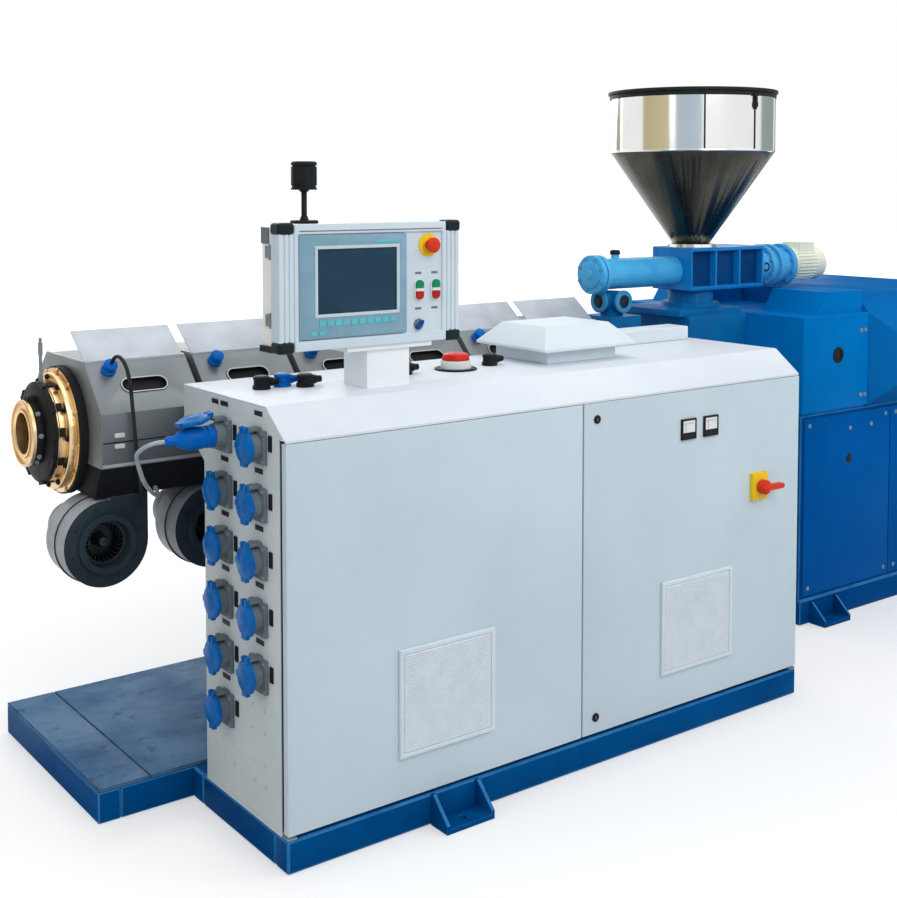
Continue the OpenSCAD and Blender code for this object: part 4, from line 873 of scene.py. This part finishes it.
turned(beacon, beacon_seat, up,
       [(0, 0), (0, 0.035), (0.006, 0.035), (0.008, 0.032), (0.008, 0.012), (0.020, 0.007), (0.076, 0.007),
        (0.083, 0.014), (0.083, 0.032), (0.088, 0.032), (0.088, 0.030), (0.094, 0.030), (0.094, 0.032),
        (0.140, 0.032), (0.140, 0.029), (0.143, 0.029), (0.143, 0.032), (0.150, 0.032), (0.153, 0.028),
        (0.153, 0)])
built(beacon, "signal_beacon_finished", [dark_plastic], 0.0008, "signal_beacon")


# BARREL: the heated barrel ends in a bolted head with a clamp ring, and the die adapter with its heater
# band closes it. The machined faces are heat-tinted to gold, and the heaters and the outer rim are black.
def grain_group():
    """Ground or rolled metal: fine lines along one way, with cloudy tint."""
    group, given, made = new_group(
        "brushed_grain", "ShaderNodeTree",
        {"Colour": "Color", "Tint": "Color", "Tint Scale": "Float", "Lines": "Vector", "Gloss": "Float",
         "Spread": "Float"},
        {"Colour": "Color", "Roughness": "Float", "Height": "Float"})
    place = added(group, "ShaderNodeTexCoord").outputs["Object"]
    share = patchy(group, {"Detail": 4, "Vector": place, "Scale": given["Tint Scale"]}, 0.35, 0.68)
    stretch = added(group, "ShaderNodeVectorMath", {0: place, 1: given["Lines"]}, operation="MULTIPLY")
    lines = added(group, "ShaderNodeTexNoise",
                  {"Scale": 1.0, "Detail": 3, "Vector": stretch.outputs[0]}).outputs[0]
    rough = added(group, "ShaderNodeMath", {0: lines, 1: given["Spread"], 2: given["Gloss"]},
                  operation="MULTIPLY_ADD", use_clamp=True)
    wired(group, made, {"Colour": blended(group, share, given["Colour"], given["Tint"]),
                        "Roughness": rough.outputs[0], "Height": lines})
    return group


brushed_grain = grain_group()


def ground(name, colour, tint, lines, gloss, spread=0.2, scale=6.0, metallic=1.0, relief=0.0001):
    """Bare metal with its grinding or rolling lines."""
    values = {"Colour": tone(*colour), "Tint": tone(*tint), "Tint Scale": scale, "Lines": lines,
              "Gloss": gloss, "Spread": spread}
    return finish(name, brushed_grain, values, relief, metallic=metallic)


turned_gold = ground("heat_tinted_steel", (232, 206, 162), (206, 168, 116), (40, 900, 900), 0.22, scale=9.0)
barrel_steel = ground("barrel_steel", (146, 150, 154), (104, 106, 110), (30, 700, 700), 0.3)
band_black = moulded("heater_band_black", (26, 27, 29), (44, 42, 40), 0.45)
softened("barrel", [barrel_steel], 0.001)
axis_y = 0.18475
axis_z = 0.945
head_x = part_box("barrel_head")[0].x
head = bmesh.new()
turned(head, (head_x, axis_y, axis_z), (1, 0, 0),
       [(0, 0.045), (0, 0.120), (0.003, 0.126), (0.006, 0.135), (0.018, 0.135), (0.018, 0.131),
        (0.022, 0.131), (0.022, 0.135), (0.060, 0.135), (0.060, 0.168), (0.063, 0.173), (0.085, 0.173),
        (0.085, 0.045)], 0, 72, True)
for face in head.faces:
    middle = face.calc_center_median()
    outside = math.hypot(middle.y - axis_y, middle.z - axis_z)
    if (middle.x < head_x + 0.019 and outside > 0.05) or outside > 0.1702:
        face.material_index = 1
built(head, "barrel_head_finished", [turned_gold, band_black], 0.0012, "barrel_head")
ring_low, ring_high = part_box("clamp_ring")
softened("clamp_ring", [turned_gold], 0.002)
softened("adapter_band", [band_black], 0.0015)
adapter = bmesh.new()
turned(adapter, (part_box("die_adapter")[0].x, axis_y, axis_z), (1, 0, 0),
       [(0.003, 0.055), (0, 0.060), (0, 0.065), (0.006, 0.066), (0.006, 0.080), (0, 0.081), (0, 0.086),
        (0.003, 0.089), (0.012, 0.089), (0.012, 0.070), (0.035, 0.070), (0.035, 0.055)], 0, 64, True)
built(adapter, "die_adapter_finished", [turned_gold], 0.0008, "die_adapter")


def bolt_circle(x, height, radius, count, start=0.0, aim=(-1, 0, 0)):
    """Bolt places on a circle round an axis that runs along the machine at a height."""
    angles = [start + 2 * math.pi * k / count for k in range(count)]
    return [((x, axis_y + radius * math.cos(a), height + radius * math.sin(a)), aim) for a in angles]


screwed("flange_bolts", bolt_circle(ring_high.x - 0.0005, axis_z, 0.1645, 12, 0.1), turned_gold,
        radius=0.005, height=0.004, recess=0.0006, sides=6)
screwed("clamp_bolts", bolt_circle(ring_low.x, axis_z, 0.146, 12), band_black,
        radius=0.006, height=0.006, recess=0.003, sides=18)
band_low, band_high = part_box("adapter_band")
band_middle = Vector(((band_low.x + band_high.x) / 2, axis_y, axis_z))
band_ways = [Vector((0, math.cos(a), math.sin(a))) for a in (-2.2, -1.3, 2.4, 3.1, 3.8, 0.3)]
band_bolts = [(band_middle + way * 0.0857, way) for way in band_ways]
screwed("band_bolts", band_bolts, bolt_steel, radius=0.005, height=0.006, recess=0.003, sides=18)
straps = bmesh.new()
for angle in (0.30, 0.95, 1.45, 2.05, 2.9, 3.7, 4.5, 5.4):
    strap = bmesh.new()
    block(strap, (head_x + 0.021, -0.012, 0.133), (head_x + 0.036, 0.012, 0.138))
    block(strap, (head_x + 0.003, -0.016, 0.131), (head_x + 0.017, 0.016, 0.141))
    poured(straps, strap, Matrix.Translation((0, axis_y, axis_z)) @ Matrix.Rotation(angle, 4, "X"))
built(straps, "head_heater_straps", [band_black], 0.0012)

sensor_low, sensor_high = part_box("melt_sensor")
sensor = bmesh.new()
turned(sensor, ((sensor_low.x + sensor_high.x) / 2, axis_y, sensor_low.z), up,
       [(0, 0), (0, 0.006), (0.022, 0.006), (0.022, 0.0045), (0.070, 0.0045), (0.072, 0.006), (0.104, 0.006),
        (0.106, 0.004), (0.1171, 0.004), (0.1171, 0)], 0, 24)
built(sensor, "melt_sensor_finished", [pin_steel], 0.0006, "melt_sensor")


# BARREL COVERS: six folded sheet covers over the heater bands, each with a dark recessed grip in its
# sloped face, two clasps on each side, a blue plug and a raised air flap on its ridge. A dark trough
# closes them underneath.
cover_steel = ground("cover_sheet_steel", (124, 130, 134), (106, 112, 115), (900, 20, 20), 0.34,
                     spread=0.22, scale=4.0, metallic=0.55)
flap_steel = ground("flap_galvanised_sheet", (178, 185, 192), (162, 169, 177), (700, 16, 16), 0.36,
                    scale=11.0, metallic=0.35)
trough_black = painted("trough_dark_paint", (26, 29, 33), (18, 20, 23), gloss=0.45)
clasp_steel = moulded("clasp_bright_steel", (206, 210, 214), (176, 180, 184))
softened("barrel_covers", [cover_steel], 0.003)
softened("air_flaps", [flap_steel], 0.0008)
softened("barrel_trough", [trough_black], 0.002)

cover_pitch = 0.308
cover_len = 0.288
cover_half = 0.255
cover_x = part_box("barrel_covers")[0].x
cover_starts = [cover_x + index * cover_pitch for index in range(6)]
cover_sides = [(x0, side, axis_y + side * cover_half) for x0 in cover_starts for side in (-1, 1)]
slope_low = Vector((axis_y - cover_half, axis_z + 0.073))
slope_high = Vector((axis_y - 0.140, axis_z + 0.194))
up_slope = (slope_high - slope_low).normalized()
out_slope = Vector((-up_slope.y, up_slope.x))
slope_middle = (slope_low + slope_high) / 2


def on_slope(x, rise, out, side=-1):
    """A place on a cover's sloped face, from the middle of its grip."""
    point = slope_middle + rise * up_slope + out * out_slope
    y = point.x if side < 0 else 2 * axis_y - point.x
    return Vector((x, y, point.y))


def stadium(length, width, steps=10):
    """The outline of a grip: two straights and two half circles."""
    reach = (length - width) / 2
    right = [(reach + width / 2 * math.sin(a), -width / 2 * math.cos(a))
             for a in [math.pi * k / steps for k in range(steps + 1)]]
    return right + [(-x, -y) for x, y in right]


grips = bmesh.new()
for x0, side, face_y in cover_sides:
    rings = []
    for length, width, out in [(0.133, 0.050, 0.0), (0.131, 0.048, 0.0022), (0.124, 0.041, 0.0022),
                               (0.122, 0.039, -0.0115)]:
        rings.append([grips.verts.new(on_slope(x0 + cover_len / 2 + a, b, out, side))
                      for a, b in stadium(length, width)])
    for level, (first, second) in enumerate(zip(rings, rings[1:])):
        for k in range(len(first)):
            n = (k + 1) % len(first)
            if (first[k].co - first[n].co).length < 1e-6:
                continue
            face = grips.faces.new([first[k], first[n], second[n], second[k]])
            face.material_index = 0 if level == 1 else 1
    grips.faces.new(rings[-1]).material_index = 1
bmesh.ops.remove_doubles(grips, verts=grips.verts, dist=1e-6)
built(grips, "cover_grips", [flap_steel, band_black], 0.0003)

ridge_z = axis_z + 0.190
details = bmesh.new()
for x0 in cover_starts:
    x1 = x0 + cover_len
    for side in (-1, 1):
        face_y = axis_y + side * cover_half
        block(details, (x0 + 0.004, face_y - side * 0.001, axis_z - 0.004),
              (x1 - 0.004, face_y + side * 0.0012, axis_z - 0.001), 1)
        block(details, (x0 + 0.002, face_y - side * 0.002, axis_z - 0.066),
              (x1 - 0.002, face_y + side * 0.0022, axis_z - 0.058))
    for end in (x0 + 0.001, x1 - 0.007):
        block(details, (end, axis_y - 0.139, ridge_z + 0.002), (end + 0.006, axis_y + 0.139, ridge_z + 0.008))
    block(details, (x0 + 0.004, axis_y - 0.142, ridge_z), (x1 - 0.004, axis_y - 0.124, ridge_z + 0.0075))
built(details, "cover_seams", [flap_steel, band_black], 0.0006)

clasp_w, clasp_out, clasp_h = (0.027, 0.009, 0.012)
clasps = bmesh.new()
for x0, side, face_y in cover_sides:
    clasp_x = x0 + 0.034
    for foot in (axis_z - 0.018, axis_z + 0.010):
        block(clasps, (clasp_x, face_y - side * 0.002, foot),
              (clasp_x + clasp_w, face_y + side * clasp_out, foot + clasp_h))
built(clasps, "cover_clasps", [clasp_steel], 0.003)

plug_caps = bmesh.new()
for x0 in cover_starts:
    turned(plug_caps, on_slope(x0 + 0.058, 0.052, 0), (0, out_slope.x, out_slope.y),
           [(0, 0), (0, 0.020), (0.008, 0.020), (0.010, 0.016), (0.022, 0.016), (0.024, 0.0185),
            (0.030, 0.018), (0.034, 0.012), (0.034, 0)], 0, 32)
built(plug_caps, "cover_plugs_finished", [plug_blue], 0.0008, "cover_plugs")


# BLOWERS: a cast scroll with a pale rim hangs under each of the first covers, with a round intake in
# front of its fan wheel and a motor behind. The rim's pale tone is partly its bare metal and partly a
# painted highlight; the dark fan wheel and its hubs are painted shade inside the intake.
scroll_paint = painted("blower_grey_paint", (46, 58, 66), (34, 44, 52), scale=7.0)
# The rim paint is pale partly for the bare metal and partly as painted highlight.
scroll_rim_highlight = painted("blower_rim_painted_highlight", (176, 180, 184), (130, 136, 142), gloss=0.26, scale=7.0)
motor_grey = painted("motor_silver_paint", (186, 192, 196), (150, 156, 160), gloss=0.36, scale=8.0)
# The fan wheel and its hubs are painted dark for the shade inside the intake: painted shade.
wheel_shade_dark = ground("fan_wheel_painted_shade", (40, 48, 54), (28, 34, 40), (60, 300, 60), 0.36, metallic=0.5)
blower_z = 0.670
blower_xs = [-1.785 + k * cover_pitch for k in range(4)]
scroll_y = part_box("blower_scrolls")[0].y
rim_reach = 0.082


def on_rim(centre, normal):
    """True for a face round the outside of a scroll, where the pale rim paint gives a painted highlight."""
    reach = min(math.hypot(centre.x - x, centre.z - blower_z) for x in blower_xs)
    return abs(normal.y) < 0.5 and reach > rim_reach


scrolls = softened("blower_scrolls", [scroll_paint, scroll_rim_highlight], 0.004, 3)
marked(scrolls, on_rim)
softened("blower_motors", [motor_grey], 0.001)


def blade_tree():
    """Blades or fins on a ring, each pointing outwards."""
    tree, given, made = new_group(
        "blade_ring", "GeometryNodeTree",
        {"Geometry": "Geometry", "Count": "Int", "Radius": "Float", "Blade Size": "Vector", "Lean": "Float",
         "Finish": "Material"}, {"Geometry": "Geometry"})
    ring = added(tree, "GeometryNodeMeshCircle", {"Vertices": given["Count"], "Radius": given["Radius"]})
    blade = added(tree, "GeometryNodeMeshCube", {"Size": given["Blade Size"]})
    outward = added(tree, "GeometryNodeInputPosition")
    turn = added(tree, "FunctionNodeAlignRotationToVector", {"Vector": outward.outputs[0]}, axis="X",
                 pivot_axis="Z")
    lean = added(tree, "ShaderNodeCombineXYZ", {"Z": given["Lean"]})
    tilt = added(tree, "FunctionNodeRotateRotation", {
        "Rotation": turn.outputs["Rotation"], "Rotate By": lean.outputs[0]}, rotation_space="LOCAL")
    copied(tree, given, made, ring.outputs["Mesh"], blade.outputs["Mesh"], tilt.outputs["Rotation"])
    return tree


blade_ring = blade_tree()


def bladed(name, count, radius, size, lean, material, places):
    """A ring of blades, copied to each place, as one plain mesh."""
    piece = grown(name, bpy.data.meshes.new(name), blade_ring, {
        "Count": count, "Radius": radius, "Blade Size": size, "Lean": lean, "Finish": material})
    whole = bmesh.new()
    for place in places:
        one = piece.data.copy()
        one.transform(place)
        whole.from_mesh(one)
        bpy.data.meshes.remove(one)
    whole.to_mesh(piece.data)
    whole.free()
    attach(piece, "machine")


wheel_turn = Matrix.Rotation(math.radians(90), 4, "X")
wheel_places = [Matrix.Translation((x, scroll_y + 0.055, blower_z)) @ wheel_turn for x in blower_xs]
bladed("fan_blades", 24, 0.048, (0.018, 0.0012, 0.050), math.radians(35), wheel_shade_dark, wheel_places)
hubs = bmesh.new()
for x in blower_xs:
    for profile, shade, sides, closed in [
        ([(0.030, 0), (0.032, 0.012), (0.040, 0.016), (0.080, 0.018), (0.080, 0.060), (0.084, 0.060),
          (0.084, 0)],
         0, 32, False),
        ([(0.026, 0.051), (0.026, 0.0605), (0.032, 0.0605), (0.032, 0.051)], 0, 40, True),
        ([(-0.0025, 0.0625), (-0.0025, 0.0775), (0.0, 0.0790), (0.002, 0.0790), (0.002, 0.0625)], 1, 48,
         True),
    ]:
        turned(hubs, (x, scroll_y, blower_z), (0, 1, 0), profile, shade, sides, closed)
built(hubs, "fan_hubs", [wheel_shade_dark, scroll_paint], 0.0008)
screw_circle = 0.095
screw_angles = [2 * math.pi * n / 8 + 0.3 for n in range(8)]
screw_spots = [(screw_circle * math.cos(a), screw_circle * math.sin(a)) for a in screw_angles]
scroll_screws = [((x + a, scroll_y + 0.012, blower_z + b), toward) for x in blower_xs for a, b in screw_spots]
screwed("scroll_screws", scroll_screws, scroll_paint, radius=0.004, height=0.003, recess=0.0015, sides=14)
support_paint = painted("support_blue_paint", (4, 78, 142), (0, 60, 114), gloss=0.32)
softened("barrel_support", [support_paint], 0.003)


# FEEDING: a vent block on the barrel, a cast feed block, and a screw feeder with a ribbed box, sight
# ports and a geared motor, all in gloss blue except for the cream motor. The tube and drive take a lighter
# blue as painted highlight, dark plates in the box's bays are painted shade, and a dark cup on the drive
# is painted shade for an open hole.
feed_blue = painted("feeder_blue_paint", (14, 130, 204), (0, 106, 180), gloss=0.26, scale=7.0, coat=0.15)
feed_dark = painted("feed_block_blue_paint", (8, 104, 164), (0, 84, 142), scale=5.0)
# The tube and the drive take a lighter copy of the feeder blue: painted highlight.
feed_highlight_blue = painted("feeder_tube_painted_highlight_blue", (80, 178, 230), (44, 152, 214), gloss=0.2, scale=7.0, coat=0.2)
# Dark blue for the plates between the feeder box's ribs: painted shade.
feed_shadow = painted("feeder_recess_painted_shade", (0, 66, 124), (0, 50, 98), 0.8, gloss=0.4, scale=7.0)
motor_cream = painted("motor_cream_paint", (240, 243, 224), (220, 224, 204), 0.6, gloss=0.34, scale=8.0)
# The dark glass also fills a cup on the drive, where it is painted shade for an open hole.
sight_glass_and_hole_shade = moulded("sight_glass_and_hole_shade", (22, 30, 38), (38, 52, 62), 0.1)
port_ring = moulded("sight_port_ring", (64, 146, 196), (36, 116, 172))
softened("vent_chamber", [feed_dark], 0.003)
softened("feed_block", [feed_dark], 0.003)
softened("feeder_body", [feed_blue], 0.003, 3)
softened("feeder_tube", [feed_highlight_blue], 0.003, 3)
softened("feeder_drive", [feed_highlight_blue], 0.003, 3)
softened("feeder_motor", [motor_cream], 0.003, 3)

body_low, body_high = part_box("feeder_body")
rib_t = 0.010
rib_depth = 0.026
rib_step = (body_high.x - body_low.x - rib_t) / 3
# Plates of painted shade in the bays between the ribs, on both sides of the box.
shade_plates = bmesh.new()
for bay in range(3):
    bay_x = body_low.x + bay * rib_step
    for y in (body_low.y + rib_depth, body_high.y - rib_depth):
        block(shade_plates, (bay_x + rib_t + 0.001, y - 0.0006, body_low.z + 0.013),
              (bay_x + rib_step - 0.001, y + 0.0006, body_high.z - 0.013))
built(shade_plates, "feeder_painted_shade_plates", [feed_shadow], 0.0002)
feeder_z = 1.285
vent_middle = Vector((0.224, axis_y, feeder_z - 0.056 - 0.042))
vent_reach = 0.060
fitting = bmesh.new()
for axis in (Vector((-1, 0, 0)), Vector((0, -1, 0))):
    port = vent_middle + axis * vent_reach
    turned(fitting, port, axis,
           [(-0.004, 0.024), (-0.004, 0.041), (0.006, 0.041), (0.007, 0.038), (0.007, 0.024)], 3, 40, True)
    turned(fitting, port, axis, [(0.0, 0), (0.0, 0.026), (0.002, 0.026), (0.004, 0.020), (0.004, 0)], 1, 36)
tube_low, tube_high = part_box("feeder_tube")
turned(fitting, (tube_low.x + 0.120, axis_y, tube_high.z), up,
       [(-0.012, 0), (-0.012, 0.019), (-0.004, 0.019), (0.004, 0.016), (0.004, 0)], 2, 24)
turned(fitting, (tube_low.x, axis_y, feeder_z), (-1, 0, 0),
       [(-0.001, 0), (-0.001, 0.050), (0.004, 0.050), (0.006, 0.046), (0.006, 0.016), (0.010, 0.014),
        (0.010, 0)])
drive_low, drive_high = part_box("feeder_drive")
# A dark cup on the drive: painted shade for an open hole.
turned(fitting, (drive_low.x + 0.052, axis_y - 0.066, feeder_z), toward,
       [(0, 0), (0, 0.018), (0.007, 0.018), (0.007, 0.012), (0.002, 0.012), (0.002, 0)], 1, 28)
built(fitting, "feeder_fittings", [feed_highlight_blue, sight_glass_and_hole_shade, dark_plastic, port_ring], 0.0012)

feeder_bolts = []
for x, radius, count, way in [
    (tube_low.x, 0.0625, 8, -1), (tube_low.x + 0.042, 0.0625, 8, 1), (drive_low.x + 0.024, 0.0785, 10, 1),
    (drive_low.x + 0.080, 0.0785, 10, -1), (drive_low.x + 0.154, 0.0785, 10, 1),
    (drive_high.x - 0.024, 0.0785, 10, -1),
]:
    feeder_bolts += bolt_circle(x, feeder_z, radius, count, math.pi / count, (way, 0, 0))
screwed("feeder_bolts", feeder_bolts, feed_highlight_blue, radius=0.0055, height=0.006, recess=0.0009, sides=6,
        washer=1.3)
motor_low, motor_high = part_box("feeder_motor")
fin_turn = Matrix.Rotation(math.radians(90), 4, "Y")
fin_place = Matrix.Translation((motor_low.x + 0.095, axis_y, feeder_z)) @ fin_turn
bladed("motor_fins", 30, 0.0635, (0.012, 0.0025, 0.110), 0.0, motor_cream, [fin_place])
cowl = bmesh.new()
turned(cowl, (motor_high.x - 0.060, axis_y, feeder_z), (1, 0, 0),
       [(0, 0.060), (0, 0.0665), (0.050, 0.0665), (0.0585, 0.060), (0.0600, 0.050), (0.0600, 0.046),
        (0.056, 0.046), (0.056, 0)])
built(cowl, "motor_cowl", [motor_cream], 0.0008)


# HOPPER: a rolled and welded stainless shell, its cylinder polished and its cone a little rougher and
# painted dark as shade, with a dark hinged lid and a toggle latch at the rim.
hopper_steel = ground("hopper_stainless", (238, 240, 238), (224, 226, 224), (14, 14, 900), 0.08,
                      spread=0.1, scale=2.0, relief=0.0)
# The cone's dark steel is painted shade; the weld bead takes the same dark steel.
cone_shade_and_weld_steel = ground("hopper_cone_shade_and_weld_steel", (80, 80, 73), (46, 47, 45), (30, 30, 260), 0.16, scale=3.0,
                    relief=0.00003)
rim_dark = moulded("hopper_rim_rubber", (40, 42, 42), (28, 30, 30), 0.4)
softened("hopper_lid", [rim_dark], 0.002)
shell_low, shell_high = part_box("hopper_shell")
hopper_r = (shell_high.x - shell_low.x) / 2
hopper_foot = Vector(((shell_low.x + shell_high.x) / 2, axis_y, 0))
wall_z0 = 1.732
wall_z1 = 1.946
hopper = softened("hopper_shell", [hopper_steel, cone_shade_and_weld_steel], 0.0008)
# The cone's faces take the dark steel: painted shade.
marked(hopper, lambda centre, normal: centre.z < wall_z0 - 0.001)
skin_r = hopper_r + 0.0006
rim_r = hopper_r + 0.004
hoops = bmesh.new()
for profile, shade, sides in [
    ([(wall_z0 + 0.004, hopper_r - 0.002), (wall_z0 + 0.004, skin_r), (wall_z1 - 0.014, skin_r),
      (wall_z1 - 0.014, hopper_r - 0.002)], 0, 160),
    ([(wall_z0 - 0.004, hopper_r - 0.003), (wall_z0, hopper_r + 0.0012), (wall_z0 + 0.005, hopper_r + 0.0008),
      (wall_z0 + 0.005, hopper_r - 0.003)], 0, 128),
    ([(wall_z1 - 0.016, hopper_r - 0.002), (wall_z1 - 0.016, rim_r), (wall_z1 - 0.001, rim_r),
      (wall_z1 - 0.001, hopper_r - 0.002)], 1, 128),
]:
    turned(hoops, hopper_foot, up, profile, shade, sides, True)
turned(hoops, hopper_foot + Vector((0, 0, 1.372)), up,
       [(0, 0.058), (0, 0.094), (0.012, 0.094), (0.014, 0.090), (0.014, 0.068), (0.040, 0.079),
        (0.040, 0.074), (0.014, 0.060)], 0, 64, True)
built(hoops, "hopper_hoops", [hopper_steel, rim_dark], 0.0008)
seam_angle = math.radians(-129)
seam_out = Vector((math.cos(seam_angle), math.sin(seam_angle), 0))
seam_side = Vector((-seam_out.y, seam_out.x, 0))
seam_foot = hopper_foot + seam_out * (hopper_r + 0.0002)
seam = bmesh.new()
bead = [seam.verts.new(seam_foot + seam_side * along + seam_out * out + Vector((0, 0, z)))
        for z in (wall_z0 + 0.004, wall_z1 - 0.016)
        for along, out in [(-0.004, 0.0), (-0.0015, 0.0014), (0.0015, 0.0014), (0.004, 0.0)]]
for k in range(3):
    seam.faces.new([bead[k], bead[k + 1], bead[k + 5], bead[k + 4]])
built(seam, "hopper_weld", [cone_shade_and_weld_steel], 0.0002)
latch = bmesh.new()
for corner, opposite in [
    ((-0.008, -0.001, -0.060), (0.008, 0.004, -0.004)), ((-0.006, 0.003, -0.052), (0.006, 0.011, -0.034)),
    ((-0.003, -0.002, wall_z0 - wall_z1 + 0.012), (0.003, 0.002, -0.058)),
    ((-0.004, 0.006, -0.050), (0.004, 0.010, 0.000)), ((-0.012, 0.001, -0.012), (0.012, 0.010, -0.002)),
]:
    block(latch, corner, opposite)
latch_angle = math.radians(-91)
latch_out = Vector((math.cos(latch_angle), math.sin(latch_angle), 0))
latch_foot = hopper_foot + latch_out * (hopper_r + 0.001) + Vector((0, 0, wall_z1 - 0.006))
latch.transform(Matrix.Translation(latch_foot) @ Matrix.Rotation(latch_angle - math.radians(90), 4, "Z"))
built(latch, "hopper_latch", [rim_dark], 0.0012)


# DRIVE: a welded gear frame with screwed panels, the gearbox cover with finger holes and rivets, and a
# chamfered sheet guard over the belt drive, all painted blue.
gear_blue = painted("gear_frame_blue_paint", (0, 76, 142), (0, 60, 116), shine=0.01)
panel_blue = painted("gear_panel_blue_paint", (0, 90, 168), (0, 78, 148), scale=2.2, shine=0.01)
cover_blue = painted("gear_cover_blue_paint", (0, 118, 194), (0, 104, 176), gloss=0.28, scale=2.2, shine=0.01)
guard_blue = painted("guard_light_blue_paint", (8, 106, 176), (0, 90, 156), scale=2.2, shine=0.01)
# The gear frame's rounded edges take the lighter base blue: painted highlight.
softened("gear_frame", [gear_blue, base_highlight_paint], 0.004, edge=1)
softened("gear_panels", [panel_blue], 0.002)
softened("gearbox_cover", [cover_blue], 0.006, 3)
softened("drive_guard", [guard_blue], 0.005, 3)
cover_walls = [(corner.y, (0, way, 0)) for corner, way in zip(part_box("gearbox_cover"), (-1, 1))]
panel_walls = [(corner.y, (0, way, 0)) for corner, way in zip(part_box("gear_panels"), (-1, 1))]
holes = bmesh.new()
for wall, aim in cover_walls:
    turned(holes, (0.946, wall, 0.979), aim,
           [(-0.002, 0.020), (-0.002, 0.030), (0.003, 0.030), (0.004, 0.027), (0.004, 0.020)], 0, 32, True)
    # A dark disc in each grommet stands for the finger hole: painted shade.
    turned(holes, (0.946, wall, 0.979), aim, [(0, 0), (0, 0.021), (0.0008, 0.021), (0.0008, 0)], 0, 32)
for wall, aim in panel_walls:
    turned(holes, (1.025, wall, 0.583), aim,
           [(-0.001, 0), (-0.001, 0.017), (0.001, 0.017), (0.0015, 0.015), (0.0015, 0)], 0, 28)
built(holes, "drive_grips", [dark_plastic], 0.0004)
rivets = [(1.085, 1.062), (1.110, 1.062), (1.085, 0.818), (1.110, 0.818)]
screwed("cover_rivets", [((x, wall, z), aim) for wall, aim in cover_walls for x, z in rivets],
        bolt_steel, radius=0.006, height=0.004, recess=0.001, sides=16)
panel_screws = [(1.030, 0.698), (1.159, 0.700), (0.79, 0.13), (1.25, 0.13), (1.315, 0.13), (1.315, 0.73),
                (1.89, 0.13), (1.89, 0.73), (0.79, 0.73), (1.25, 0.73)]
screwed("panel_screws", [((x, wall, z), aim) for wall, aim in panel_walls for x, z in panel_screws],
        bolt_steel, radius=0.006, height=0.0015, recess=0.0007, sides=16, washer=1.3, washer_share=0.4)
